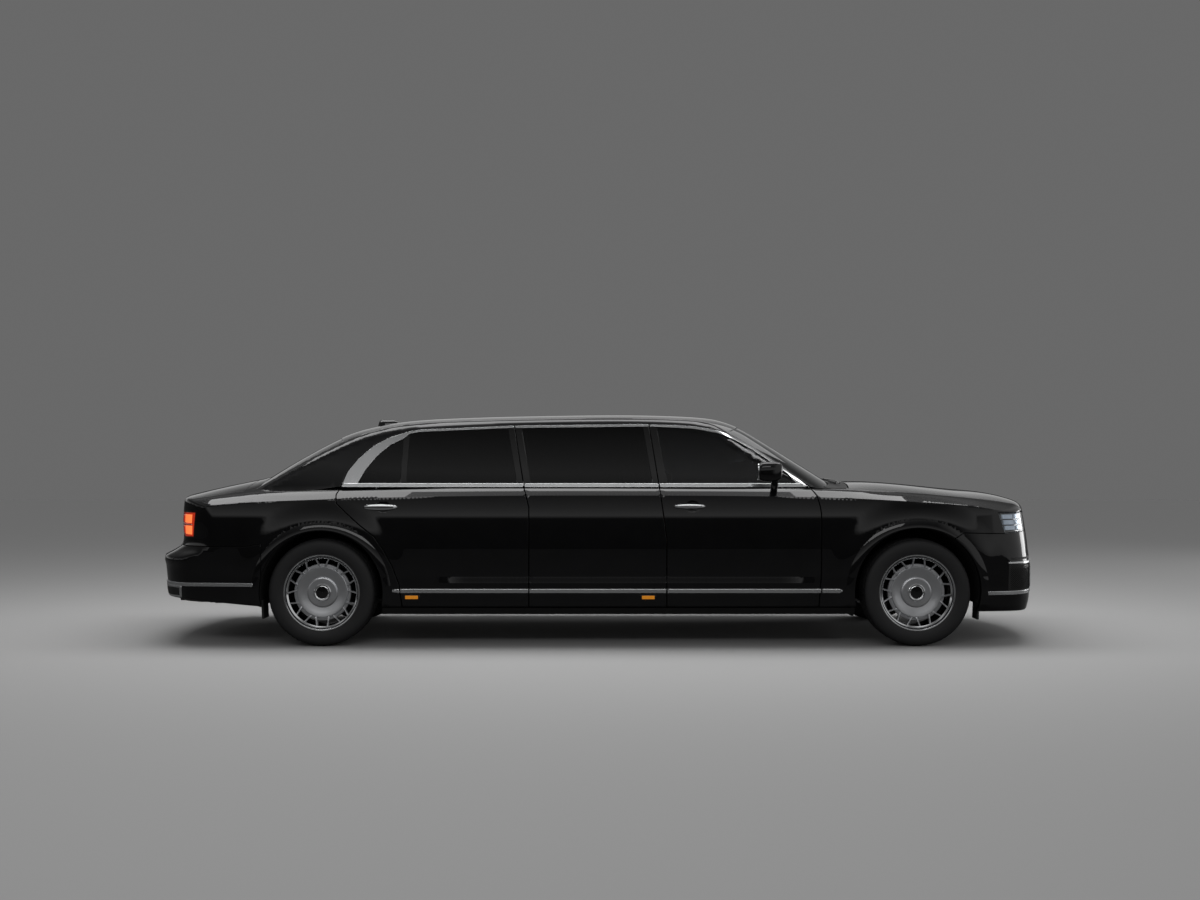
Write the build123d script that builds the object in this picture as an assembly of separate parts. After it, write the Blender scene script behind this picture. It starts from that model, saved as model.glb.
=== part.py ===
"""A long four-door limousine with a fixed centre section, modelled as separate panels, glass, running gear and seats.

Millimetres. +X points forward, +Y to the car's left, +Z up. The origin is on the ground, midway between
the ends and the sides. Each piece is written to its own STEP file.
"""

import math
import os

from build123d import *

# Driving dimensions
WHEELBASE = 4300.0
FRONT_AXLE_X = 2302.0
REAR_AXLE_X = FRONT_AXLE_X - WHEELBASE
TYRE_RADIUS = 388.0
TYRE_WIDTH = 275.0
WHEEL_Y = 843.0  # centre of each tyre, from the middle of the car
RIM_RADIUS = 271.0
SHUT_GAP = 5.0  # between a door or lid and what it closes against
SEAT = 0.3  # running space between pieces that only rest on each other
BODY_BOTTOM = 232.0
DOOR_BOTTOM = 282.0
DOOR_WALL = 78.0  # thickness of a door below the glass
FRAME_WALL = 48.0  # thickness of the pillars and window frames
ROOF_WALL = 36.0
LID_FLANGE = 26.0  # depth of the body flange under the boot lid
SKIN = 20.0  # wings, bonnet, boot lid and bumper covers
FLOOR_TOP = 320.0
BOOT_FLOOR_TOP = 345.0
GLASS = 6.0
GLASS_INSET = 5.0  # how far the glass lies below the paint
FIREWALL_X = (1640.0, 1700.0)
BULKHEAD_X = (-1880.0, -1840.0)
KICK_X = -2260.0  # the boot floor rises over the axle ahead of here
KICK_Z = 530.0
SKIN_SPLIT_Z = 1140.0  # side panels end here, and the cabin shell carries on up
HINGE_INSET = 10.0  # door pins lie this far behind and inside the leading edge
HINGE_PIN = 3.5
HINGE_EYE = 7.6
HINGE_PLATE = 8.0
HINGE_Z = (662.0, 768.0)
HINGE_NECK = ((8.0, 0.0), (14.5, -13.0), (48.0, -13.0), (48.0, -42.0), (4.0, -42.0), (1.0, -7.4), (0.0, 0.0))
DOOR_STEP = 18.0  # how far a door's inner part stays inside its shut line
BONNET_REAR = (1812.0, 1900.0)  # rear edge at the corners and on the centre line
BONNET_HALF = 800.0
BONNET_LIP_Z = 967.0
BONNET_AXIS = (1824.5, 1123.0)
LID_FRONT_X = -2602.0
LID_AXIS = (LID_FRONT_X - 12.5, 1183.0)
GRILLE_Z = (560.0, 952.0)
GRILLE = ((-320.0, GRILLE_Z[0]), (320.0, GRILLE_Z[0]), (335.0, GRILLE_Z[1]), (-335.0, GRILLE_Z[1]))
HUB_RADIUS = 38.0
BLADE_PAIRS = 9
WHEEL_Z = TYRE_RADIUS
ARCH_RADIUS = {"front": 458.0, "rear": 446.0}
ARCH_LIFT = {"front": 10.0, "rear": 3.0}  # arch centre above the wheel centre
LINER_WALL = 6.0
ARCH_INNER_Y = 488.0
KINGPIN_Y = 783.0
STRIP_Z = (391.0, 422.0)
BELT_Z = (1147.0, 1178.0)

# Lower body sections. Columns: x, half width, height and depth of the shoulder crease's top, shoulder y, shoulder z,
# height on the centre line.
SECTIONS = (
    # x, half_width, crease_z, shoulder_y, shoulder_z, top_z
    (-3400.0, 862.0, 955.0, 770.0, 996.0, 1010.0),
    (-2950.0, 950.0, 1003.0, 850.0, 1060.0, 1123.0),
    (-2610.0, 980.0, 1033.0, 874.0, 1096.0, 1194.0),
    (-2400.0, 992.0, 1047.0, 888.0, 1112.0, 1238.0),
    (-1200.0, 1009.0, 1083.0, 930.0, 1142.0, 1175.0),
    (300.0, 1010.0, 1090.0, 938.0, 1146.0, 1165.0),
    (1500.0, 1008.0, 1080.0, 926.0, 1138.0, 1160.0),
    (2100.0, 1004.0, 1056.0, 895.0, 1112.0, 1169.0),
    (2700.0, 980.0, 1012.0, 845.0, 1066.0, 1117.0),
    (3080.0, 922.0, 948.0, 770.0, 1012.0, 1073.0),
    (3400.0, 840.0, 912.0, 660.0, 940.0, 955.0),
)
WIDEST_Z = 780.0
LOW_ARC_R = 3500.0
HIGH_ARC_Z = 900.0
HIGH_ARC_R = 1300.0
SIDE_FOOT_Z = 506.0
SILL_Z = 300.0

# Greenhouse centre profile: x, z, the direction its wall thickens in, and how fast x and z fall away with the
# square of y.
ROOF_PROFILE = (
    # x, z, nx, nz, bow, crown
    (1960.0, 1062.0, -0.525, -0.851, -3.3e-4, 0.0),
    (1560.0, 1311.0, -0.525, -0.851, -3.3e-4, 0.4e-4),
    (1150.0, 1562.0, -0.5, -0.866, -3.3e-4, 0.9e-4),
    (1015.0, 1623.0, -0.3, -0.954, -2.6e-4, 0.9e-4),
    (880.0, 1660.0, -0.15, -0.989, -1.6e-4, 0.9e-4),
    (640.0, 1681.0, -0.06, -0.998, -0.6e-4, 0.9e-4),
    (200.0, 1692.0, 0.0, -1.0, 0.0, 0.9e-4),
    (-400.0, 1686.0, 0.02, -1.0, 0.0, 0.9e-4),
    (-1000.0, 1671.0, 0.05, -0.999, 0.3e-4, 0.9e-4),
    (-1430.0, 1648.0, 0.11, -0.994, 0.9e-4, 0.9e-4),
    (-1700.0, 1607.0, 0.22, -0.976, 1.6e-4, 0.9e-4),
    (-1950.0, 1536.0, 0.36, -0.933, 2.2e-4, 0.9e-4),
    (-2300.0, 1356.0, 0.5, -0.866, 2.4e-4, 0.5e-4),
    (-2700.0, 1108.0, 0.53, -0.848, 2.4e-4, 0.0),
)
BODY_STATIONS = (-3400, -3060, -2800, -2610, -2300, -1900, -1200, -450, 300, 950, 1500, 1850, 2200, 2500, 2750, 2950, 3400)
CABIN_ROWS = (-980, -750, -500, -250, 0, 250, 500, 750, 980)
CABIN_STATIONS = (-2800, -2300, -1900, -1400, -900, -300, 300, 700, 1100, 1550, 2000)
# Greenhouse sides. Columns: x, y at the belt, y at the roof rail.
CABIN_SIDES = (
    (-2800.0, 775.0, 590.0),
    (-1900.0, 880.0, 684.0),
    (-900.0, 914.0, 712.0),
    (300.0, 924.0, 722.0),
    (1100.0, 915.0, 708.0),
    (2000.0, 848.0, 630.0),
)
CABIN_FOOT_Z = 1150.0
CABIN_RAIL_Z = 1600.0
CABIN_BULGE = 11.0


def between(x, table, column):
    """The value of one column of a table at x, on a smooth curve through its rows."""
    last = len(table) - 1
    i = max(0, min(last - 1, sum(row[0] <= x for row in table) - 1))
    slopes = []
    for j in (i, i + 1):
        low, high = table[max(j - 1, 0)], table[min(j + 1, last)]
        slopes.append((high[column] - low[column]) / (high[0] - low[0]))
    width = table[i + 1][0] - table[i][0]
    t = min(1.0, max(0.0, (x - table[i][0]) / width))
    return (
        (2 * t**3 - 3 * t**2 + 1) * table[i][column]
        + (t**3 - 2 * t**2 + t) * width * slopes[0]
        + (3 * t**2 - 2 * t**3) * table[i + 1][column]
        + (t**3 - t**2) * width * slopes[1]
    )


def side_drop(z):
    """How far the body side lies inside its widest line at height z."""
    if z <= HIGH_ARC_Z:
        return (z - WIDEST_Z) ** 2 / (2 * LOW_ARC_R)
    start = (HIGH_ARC_Z - WIDEST_Z) ** 2 / (2 * LOW_ARC_R)
    slope = (HIGH_ARC_Z - WIDEST_Z) / LOW_ARC_R
    rise = z - HIGH_ARC_Z
    return start + slope * rise + rise**2 / (2 * HIGH_ARC_R)


def side_y(x, z):
    """Half width of the outer body at x and height z, up to the shoulder crease, and of the cabin above the belt."""
    if z >= CABIN_FOOT_Z:
        low, high = between(x, CABIN_SIDES, 1), between(x, CABIN_SIDES, 2)
        share = (z - CABIN_FOOT_Z) / (CABIN_RAIL_Z - CABIN_FOOT_Z)
        return low + share * (high - low) + 4 * CABIN_BULGE * share * (1 - share)
    return between(x, SECTIONS, 1) - side_drop(z)


def skinned(rings):
    """A solid with flat triangular sides between successive closed rings of points."""
    faces = [Face(Wire.make_polygon(rings[0], close=True)), Face(Wire.make_polygon(rings[-1], close=True))]
    count = len(rings[0])
    for low, high in zip(rings, rings[1:]):
        for i in range(count):
            j = (i + 1) % count
            corners = [low[i], low[j], high[j], high[i]]
            for triangle in ((0, 1, 2), (0, 2, 3)) if low[i][1] + low[j][1] >= 0 else ((0, 1, 3), (1, 2, 3)):
                faces.append(Face(Wire.make_polygon([corners[k] for k in triangle], close=True)))
    return Solid(Shell(faces))


def section_ring(x, inset, bottom):
    """One closed body section, drawn inset millimetres inside the paint."""
    width, crease_z, shoulder_y, shoulder_z, top_z = (between(x, SECTIONS, column) for column in range(1, 6))
    w = width - inset
    crease = crease_z - 0.4 * inset
    half = [(w - 60.0, bottom), (w - 14.0, max(SILL_Z, bottom + 10.0))]
    half += [(w - side_drop(z), z) for z in (SIDE_FOOT_Z, 640.0, WIDEST_Z, HIGH_ARC_Z, crease)]
    for share in (1.0, 0.6, 0.3, 0.0):
        y = share * (shoulder_y - inset)
        half.append((y, top_z - inset - (top_z - shoulder_z) * share**2))
    return [(x, y, z) for y, z in half] + [(x, -y, z) for y, z in reversed(half[:-1])]


def lower_body(inset=0.0, bottom=BODY_BOTTOM):
    """The body below the glass, as one solid through its sections."""
    return skinned([section_ring(x, inset, bottom) for x in BODY_STATIONS])


def profile_ring(y, inset, foot):
    """The cabin's outline in side view, at y, closed at the given foot height."""
    points = []
    for x, z, nx, nz, bow, crown in ROOF_PROFILE:
        points.append((x + bow * y * y + nx * inset, y, z - crown * y * y + nz * inset))
    return [(points[0][0], y, foot), *points, (points[-1][0], y, foot)]


def cabin_side_ring(x, inset, foot, head=1760.0):
    """The cabin's section seen from the front, taller than the roof, so that it trims only the sides."""
    low_y, high_y = between(x, CABIN_SIDES, 1), between(x, CABIN_SIDES, 2)
    half = []
    for z in (foot, 1150.0, 1310.0, 1460.0, 1600.0, head):
        share = (z - CABIN_FOOT_Z) / (CABIN_RAIL_Z - CABIN_FOOT_Z)
        bulge = 4 * CABIN_BULGE * share * (1 - share) if 0 < share < 1 else 0.0
        half.append((low_y + share * (high_y - low_y) + bulge - inset, z))
    return [(x, y, z) for y, z in half] + [(x, -y, z) for y, z in reversed(half)]


def cabin(top_inset=0.0, side_inset=0.0, foot=1000.0):
    """The greenhouse as one solid: its side view along the width, trimmed by its tapering sides."""
    profile = skinned([profile_ring(y, top_inset, foot) for y in CABIN_ROWS])
    sides = skinned([cabin_side_ring(x, side_inset, foot - 20.0) for x in CABIN_STATIONS])
    return pieces(profile.intersect(sides))[0]


# Nose and tail in plan: height, foremost x and rearmost x on the centre line.
ENDS = (
    (190.0, 3268.0, -3200.0),
    (312.0, 3301.0, -3262.0),
    (390.0, 3306.0, -3280.0),
    (562.0, 3310.0, -3300.0),
    (640.0, 3300.0, -3310.0),
    (668.0, 3296.0, -3250.0),
    (720.0, 3291.0, -3162.0),
    (903.0, 3263.0, -3170.0),
    (1020.0, 3240.0, -3184.0),
    (1260.0, 3150.0, -3184.0),
)

# Shut lines in side view, each on the middle of its gap.
FRONT_DOOR = (
    (1587.0, 284.5), (1604.5, 520.0), (1604.5, 960.0), (1596.0, 1012.0), (1575.0, 1090.0), (1533.0, 1150.0),
    (1394.0, 1262.0), (1271.0, 1353.0), (1145.0, 1438.0), (1016.0, 1510.0), (885.0, 1563.0), (716.0, 1593.0),
    (557.0, 1603.0), (372.0, 1608.0), (441.0, 1150.0), (470.0, 940.0), (492.0, 780.0), (492.0, 284.5),
)
REAR_DOOR = (
    (-500.5, 284.5), (-500.5, 1006.0), (-540.0, 1150.0), (-620.0, 1599.0), (-1320.0, 1570.0),
    (-1395.0, 1556.0), (-1526.0, 1517.0), (-1652.0, 1451.0), (-1761.0, 1353.0), (-1831.0, 1262.0),
    (-1874.0, 1152.0), (-1896.0, 1094.0), (-1888.0, 1034.0), (-1820.0, 969.0), (-1722.0, 881.0),
    (-1615.0, 797.0), (-1549.0, 702.0), (-1484.0, 584.0), (-1435.5, 451.0), (-1412.5, 284.5),
)
CENTRE_PANEL = (
    (492.0, 284.5), (492.0, 780.0), (470.0, 940.0), (441.0, 1150.0), (372.0, 1608.0), (308.0, 1610.0),
    (-620.0, 1599.0), (-540.0, 1150.0), (-500.5, 1006.0), (-500.5, 284.5),
)
FRONT_GLASS = (
    (1448.0, 1179.0), (1378.0, 1248.0), (1256.0, 1337.0), (1132.0, 1421.0), (1006.0, 1492.0), (880.0, 1543.0),
    (714.0, 1573.0), (557.0, 1583.0), (428.0, 1588.0), (500.0, 1179.0),
)
CENTRE_GLASS = ((392.0, 1179.0), (328.0, 1590.0), (-566.0, 1580.0), (-492.0, 1179.0))
REAR_GLASS = ((-592.0, 1179.0), (-666.0, 1579.0), (-1318.0, 1551.0), (-1392.0, 1536.0), (-1397.0, 1179.0))
QUARTER_GLASS = (
    (-1440.0, 1179.0), (-1434.0, 1500.0), (-1525.0, 1456.0), (-1620.0, 1376.0), (-1700.0, 1273.0),
    (-1752.0, 1179.0),
)
FRONT_BUMPER_SIDE = (
    (2480.0, 248.0), (2480.0, 700.0), (2560.0, 775.0), (2630.0, 820.0), (2945.0, 812.0), (2985.0, 962.0),
    (3400.0, 962.0), (3400.0, 248.0),
)
HEADLAMP_SIDE = ((2891.5, 961.0), (3400.0, 961.0), (3400.0, 826.0), (3011.0, 822.0), (2945.0, 812.0))
REAR_BUMPER_SIDE = (
    (-2430.0, 250.0), (-2430.0, 740.0), (-2560.0, 719.0), (-3400.0, 719.0), (-3400.0, 352.0), (-3030.0, 341.0),
    (-2453.0, 289.0),
)
# Door handles: rear x, front x, lowest and highest z
HANDLES = {"front": (542.0, 772.0, 997.0, 1029.0), "rear": (-1690.0, -1444.0, 985.0, 1029.0)}
TAIL_LAMP_SIDE = ((-2930.0, 961.0), (-3400.0, 961.0), (-3400.0, 788.0), (-2949.0, 790.0))


def pieces(*shapes):
    """Every solid in some shapes and lists of shapes."""
    found = []
    for shape in shapes:
        if shape is None:
            continue
        if isinstance(shape, (list, tuple)):
            found += pieces(*shape)
        else:
            found += list(shape.solids())
    return found


def cut(shapes, *tools):
    """Each shape with the tools taken away."""
    tools = pieces(*tools)
    return pieces(*[shape.cut(*tools) for shape in pieces(shapes)])


def common(shapes, tool):
    """What each shape shares with the tool, which may be several separate solids."""
    found = []
    for shape in pieces(shapes):
        for other in pieces(tool):
            found += pieces(shape.intersect(other))
    return found


def fuse(*shapes):
    """The shapes as one, joined where they touch."""
    first, *rest = pieces(*shapes)
    return pieces(first.fuse(*rest)) if rest else [first]


def both(*shapes):
    """The shapes and their mirror images on the other side of the car."""
    found = pieces(*shapes)
    return found + [shape.mirror(Plane.XZ) for shape in found]


def box(x0, x1, y0, y1, z0, z1):
    return Solid.make_box(x1 - x0, y1 - y0, z1 - z0, Plane((x0, y0, z0)))


def across(points, y0, y1):
    """A side view outline carried across the car."""
    face = Face(Wire.make_polygon([(x, y0, z) for x, z in points], close=True))
    return Solid.extrude(face, Vector(0, y1 - y0, 0))


def upward(points, z0, z1):
    """A plan view outline carried up."""
    face = Face(Wire.make_polygon([(x, y, z0) for x, y in points], close=True))
    return Solid.extrude(face, Vector(0, 0, z1 - z0))


def along(points, x0, x1):
    """A front view outline carried along the car."""
    face = Face(Wire.make_polygon([(x0, y, z) for y, z in points], close=True))
    return Solid.extrude(face, Vector(x1 - x0, 0, 0))


def rod(start, end, radius):
    """A round bar between two points."""
    start, end = Vector(*start), Vector(*end)
    return Solid.make_cylinder(radius, (end - start).length, Plane(origin=start, z_dir=end - start))


def tube(centre, direction, length, outer, inner):
    """A round tube from a point along a direction."""
    plane = Plane(origin=centre, z_dir=direction)
    return pieces(Solid.make_cylinder(outer, length, plane).cut(Solid.make_cylinder(inner, length, plane)))


def grow(points, distance):
    """A closed outline with every side moved outwards; a negative distance shrinks it."""
    area = sum(a[0] * b[1] - b[0] * a[1] for a, b in zip(points, points[1:] + points[:1]))
    sign = 1.0 if area > 0 else -1.0
    moved = []
    count = len(points)
    for i in range(count):
        before, here, after = points[i - 1], points[i], points[(i + 1) % count]
        normals = []
        for a, b in ((before, here), (here, after)):
            length = math.hypot(b[0] - a[0], b[1] - a[1])
            normals.append((sign * (b[1] - a[1]) / length, -sign * (b[0] - a[0]) / length))
        (ax, az), (bx, bz) = normals
        scale = distance / (1 + ax * bx + az * bz)
        moved.append((here[0] + (ax + bx) * scale, here[1] + (az + bz) * scale))
    return tuple(moved)


def ends_ring(z, front, rear, inset):
    """Plan outline of the nose and tail at one height."""
    corner = [(-150.0 * (y / 770.0) ** 2, y) for y in (0.0, 260.0, 520.0, 770.0)]
    corner += [(-187.0, 828.0), (-236.0, 878.0), (-310.0, 930.0), (-420.0, 985.0), (-600.0, 1120.0)]
    corner = [(dx, y - (inset if y > 800 else 0.0)) for dx, y in corner]
    ring = [(front - inset + dx, y) for dx, y in corner]
    ring += [(rear + inset - dx, y) for dx, y in reversed(corner)]
    ring += [(rear + inset - dx, -y) for dx, y in corner[1:]]
    ring += [(front - inset + dx, -y) for dx, y in reversed(corner[1:])]
    return [(x, y, z) for x, y in ring]


def hull(inset=0.0, bottom=BODY_BOTTOM):
    """The lower body with its nose and tail shaped in plan."""
    ends = skinned([ends_ring(z, front, rear, inset) for z, front, rear in ENDS])
    return common(lower_body(inset, bottom), ends)


def hinge(origin, toward_body, axis):
    """A pin hinge: the eye plate for the body, the lugs and pin for the moving panel, and the room each one needs.

    In its own frame x points from the pin to the fixed body and y points out through the skin.
    """
    place = Plane(origin=origin, x_dir=toward_body, z_dir=axis).location
    half = HINGE_PLATE / 2
    plate = upward(HINGE_NECK, -half, half).fuse(rod((0, 0, -half), (0, 0, half), HINGE_EYE))
    plate = plate.cut(rod((0, 0, -half), (0, 0, half), HINGE_PIN + SEAT))
    lugs = [rod((0, 0, -half - 12), (0, 0, half + 12), HINGE_PIN)]
    for low in (-half - 12, half + 1):
        lugs += [box(-34, 0, -HINGE_EYE, HINGE_EYE, low, low + 11), rod((0, 0, low), (0, 0, low + 11), HINGE_EYE)]
    slot = [rod((0, 0, -half - 1), (0, 0, half + 1), HINGE_EYE + 1), box(0, 14, -17, 14, -half - 1, half + 1)]
    relief = rod((0, 0, -half - 14), (0, 0, half + 14), HINGE_EYE + 5)
    found = {"plate": pieces(plate), "lugs": fuse(lugs), "slot": slot, "relief": [relief]}
    return {name: [shape.moved(place) for shape in shapes] for name, shapes in found.items()}


def make_door(outline, glasses, hinge_x, wall, skin):
    """A left door, its hinges' fixed plates and its axis position."""
    width = between(hinge_x, SECTIONS, 1) - HINGE_INSET
    door = fuse(
        cut(common(skin, across(grow(outline, -SHUT_GAP / 2), 500, 1200)), DOOR_CORE),
        cut(common(wall, across(grow(outline, -DOOR_STEP), 500, 1200)), DOOR_CORE),
    )
    corner = cut(
        box(hinge_x, hinge_x + 40, width, width + 40, 200, 1140),
        rod((hinge_x, width, 200), (hinge_x, width, 1140), HINGE_INSET),
    )
    door = cut(door, corner, [across(glass, 400, 1200) for glass in glasses])
    plates = []
    for z in HINGE_Z:
        one = hinge((hinge_x, width, z), (1, 0, 0), (0, 0, 1))
        door = fuse(cut(door, one["slot"]), one["lugs"])
        plates += one["plate"]
    return door, plates


def make_seat(x, y, floor, width, lean, facing=1):
    """A chair: base, cushion, back and head restraint, facing forwards or backwards."""
    half = width / 2
    side = (
        ((-210.0, 0.0), (230.0, 0.0), (230.0, 95.0), (-210.0, 95.0)),
        ((-270.0, 95.3), (265.0, 95.3), (285.0, 150.0), (265.0, 215.0), (40.0, 205.0), (-160.0, 190.0), (-270.0, 190.0)),
        (
            (-165.0, 190.3), (-285.0, 190.3), (-300.0 - lean * 0.3, 420.0), (-310.0 - lean, 760.0),
            (-240.0 - lean, 790.0), (-185.0 - lean, 740.0), (-150.0, 420.0),
        ),
        (
            (-300.0 - lean, 792.0), (-215.0 - lean, 792.0), (-195.0 - lean, 860.0), (-215.0 - lean, 925.0),
            (-275.0 - lean, 925.0), (-300.0 - lean, 860.0),
        ),
    )
    widths = (half - 60, half, half, half - 110)
    seat = []
    for outline, reach in zip(side, widths):
        points = [(x + facing * dx, floor + dz) for dx, dz in outline]
        seat.append(across(points, y - reach, y + reach))
    seat[3] = seat[3].fuse(across([(x + facing * (-270 - lean), floor + 780), (x + facing * (-240 - lean), floor + 780),
        (x + facing * (-240 - lean), floor + 800), (x + facing * (-270 - lean), floor + 800)], y - 30, y + 30))
    seat[2:] = fuse(*seat[2:])
    return seat


def revolve_y(profile):
    """A body of revolution about the Y axis from (radius, y) points."""
    face = Face(Wire.make_polygon([(r, y, 0) for r, y in profile], close=True))
    return pieces(Solid.revolve(face, 360, Axis.Y))


def make_tyre():
    half = [(258.0, 0.0), (258.0, 111.5), (277.4, 111.5), (277.4, 124.6), (300.0, 134.0), (328.0, 137.5),
            (358.0, 134.5), (378.0, 124.0), (386.0, 108.0), (388.0, 80.0), (388.0, 0.0)]
    return revolve_y(half + [(r, -y) for r, y in reversed(half[1:-1])])


def make_rim():
    """A left wheel about its own centre: barrel, dished disc, blades in nine pairs, hub and brake disc."""
    barrel = revolve_y([(246.0, -124.0), (277.0, -124.0), (277.0, -112.0), (257.7, -112.0), (257.7, 112.0),
                        (277.0, 112.0), (277.0, 124.0), (246.0, 124.0)])
    disc = revolve_y([(0.0, 60.0), (205.0, 60.0), (205.0, 74.0), (182.0, 74.0), (182.0, 92.0), (110.0, 80.0),
                      (104.0, 92.0), (62.0, 92.0), (58.0, 96.0), (0.0, 98.0)])
    hub = revolve_y([(HUB_RADIUS + SEAT, -30.0), (78.0, -30.0), (78.0, 61.0), (HUB_RADIUS + SEAT, 61.0)])
    brake = revolve_y([(70.0, -14.0), (190.0, -14.0), (190.0, 14.0), (70.0, 14.0)])
    blades = []
    for pair in range(BLADE_PAIRS):
        for side in (-1, 1):
            inner, outer = (pair * 360 / BLADE_PAIRS + side * a for a in (4.8, 11.7))
            start = (178 * math.cos(math.radians(inner)), 178 * math.sin(math.radians(inner)))
            end = (251 * math.cos(math.radians(outer)), 251 * math.sin(math.radians(outer)))
            turn = math.atan2(end[1] - start[1], end[0] - start[0])
            length = math.hypot(end[0] - start[0], end[1] - start[1])
            bar = box(0, length, 62, 90, -6, 6)
            bar = bar.rotate(Axis.Y, -math.degrees(turn)).moved(Location((start[0], 0, start[1])))
            blades.append(bar)
    return fuse(barrel, disc, hub, brake, blades)


def at_wheel(shapes, x):
    return [shape.moved(Location((x, WHEEL_Y, WHEEL_Z))) for shape in pieces(shapes)]


def save(name, *shapes):
    solids = pieces(*shapes)
    if not all(solid.is_valid and solid.volume > 0 for solid in solids):
        raise ValueError(f"{name} has a broken solid")
    export_step(Compound(solids), f"parts/{name}.step")


os.makedirs("parts", exist_ok=True)

# Offset copies of the outer surface
HULL = {inset: hull(inset) for inset in (-SEAT, 0.0, 10.0, SKIN, SKIN + SEAT, LID_FLANGE, 45.0, DOOR_WALL)}
CABIN = cabin()
CABIN_INSIDE = cabin(ROOF_WALL, FRAME_WALL)
BODY = fuse(HULL[0.0], common(CABIN, box(-2900, 2100, -1000, 1000, 1120, 1800)))
INSIDE = fuse(HULL[DOOR_WALL], CABIN_INSIDE)
SKIN_LAYER = cut(HULL[0.0], HULL[SKIN])
SIDE_SKIN = cut(SKIN_LAYER, CABIN_INSIDE)
FULL_WALL = cut(BODY, INSIDE)
THIN_LAYER = cut(BODY, HULL[10.0], cabin(10.0, 10.0))
PILLAR_CORE = common(cabin(-20.0, FRAME_WALL + 4.0), box(-2900, 2100, -1200, 1200, 1150, 1800))
DOOR_CORE = common(cabin(-20.0, FRAME_WALL + 1.0), box(-2900, 2100, -1200, 1200, 1150, 1800))
GLASS_LAYER = cut(cabin(GLASS_INSET, GLASS_INSET), cabin(GLASS_INSET + GLASS, GLASS_INSET + GLASS, 990.0))

# Openings in the skin
arches = []
wells = []
for axle_x, end in ((FRONT_AXLE_X, "front"), (REAR_AXLE_X, "rear")):
    centre_z = TYRE_RADIUS + ARCH_LIFT[end]
    radius = ARCH_RADIUS[end]
    for side in (1, -1):
        low, high = (axle_x, side * (ARCH_INNER_Y - LINER_WALL - SEAT), centre_z), (axle_x, side * 1200, centre_z)
        arches.append(rod(low, high, radius))
        wells.append(rod(low, high, radius + LINER_WALL + SEAT))


def bonnet_plan(gap):
    """The bonnet's edge in plan, moved out by gap."""
    points = [(3500.0, -740.0 - gap), (3000.0, -770.0 - gap)]
    for i in range(-8, 9):
        y = i / 8 * (BONNET_HALF + gap)
        points.append((BONNET_REAR[1] - (BONNET_REAR[1] - BONNET_REAR[0]) * (i / 8) ** 2 - gap, y))
    return points + [(3000.0, 770.0 + gap), (3500.0, 740.0 + gap)]


def bonnet_region(gap):
    return upward(bonnet_plan(gap), BONNET_LIP_Z - gap, 1400)


def bonnet_sweep():
    """Room behind the bonnet's rear edge, as round bars about its hinge line, for the scuttle that it swings past."""
    reach = 800.0
    strips = 20
    rods = []
    for i in range(strips):
        low, high = (-reach + 2 * reach * j / strips for j in (i, i + 1))
        near = min(abs(low), abs(high))
        x = BONNET_REAR[1] - (BONNET_REAR[1] - BONNET_REAR[0]) * (near / BONNET_HALF) ** 2 - SHUT_GAP / 2
        shoulder_y, shoulder_z, top_z = (between(x, SECTIONS, column) for column in (3, 4, 5))
        rise = top_z - (top_z - shoulder_z) * (near / shoulder_y) ** 2 - BONNET_AXIS[1]
        radius = math.hypot(x - BONNET_AXIS[0], rise) + SHUT_GAP
        if x > BONNET_AXIS[0]:
            rods.append(rod((BONNET_AXIS[0], low, BONNET_AXIS[1]), (BONNET_AXIS[0], high, BONNET_AXIS[1]), radius))
    return rods


def lid_region(gap):
    plan = ((LID_FRONT_X + gap, -780.0 - gap), (LID_FRONT_X + gap, 780.0 + gap), (-3500.0, 780.0 + gap),
            (-3500.0, -780.0 - gap))
    return fuse(
        upward(plan, 967.0 - gap, 1400),
        box(-3500, -3000, -600 - gap, 600 + gap, 722 - gap, 990),
    )


def lamp_region(outline, inner_y, gap):
    return both(across(grow(outline, gap), inner_y - gap, 1200))


half_gap = SHUT_GAP / 2
door_holes = cut(
    both(across(grow(FRONT_DOOR, half_gap), 500, 1200), across(grow(REAR_DOOR, half_gap), 500, 1200)), PILLAR_CORE
)
bonnet_hole = bonnet_region(half_gap)
lid_hole = lid_region(half_gap)
head_hole = lamp_region(HEADLAMP_SIDE, 432, 0.2)
tail_hole = lamp_region(TAIL_LAMP_SIDE, 605, 0.2)
grille_hole = along(GRILLE, 3000, 3400)
front_bumper_zone = across(FRONT_BUMPER_SIDE, -1200, 1200)
rear_bumper_zone = across(REAR_BUMPER_SIDE, -1200, 1200)
cowl_zone = box(1500, 1960, -803, 803, 900, 1400)

# Doors and what hinges them
front_hinge_x = max(x for x, z in FRONT_DOOR) - half_gap - HINGE_INSET
rear_hinge_x = max(x for x, z in REAR_DOOR) - half_gap - HINGE_INSET
front_door, front_plates = make_door(FRONT_DOOR, (FRONT_GLASS,), front_hinge_x, FULL_WALL, THIN_LAYER)
rear_door, rear_plates = make_door(REAR_DOOR, (REAR_GLASS, QUARTER_GLASS), rear_hinge_x, FULL_WALL, THIN_LAYER)
half_space = box(-3500, 3500, 0, 1300, 0, 1900)
front_door, rear_door = common(front_door, half_space), common(rear_door, half_space)
side_glass = common(cut(GLASS_LAYER, DOOR_CORE), box(-2000, 1700, 0, 1200, 1150, 1700))
front_glass = common(side_glass, across(grow(FRONT_GLASS, -0.2), 500, 1200))
rear_glass = common(side_glass, [across(grow(outline, -0.2), 500, 1200) for outline in (REAR_GLASS, QUARTER_GLASS)])
for side, label in ((1, "left"), (-1, "right")):
    for name, shapes in (
        ("front_door", front_door), ("rear_door", rear_door), ("front_door_glass", front_glass),
        ("rear_door_glass", rear_glass),
    ):
        placed = shapes if side == 1 else [shape.mirror(Plane.XZ) for shape in pieces(shapes)]
        save(f"{label}_{name}", placed)

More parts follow.
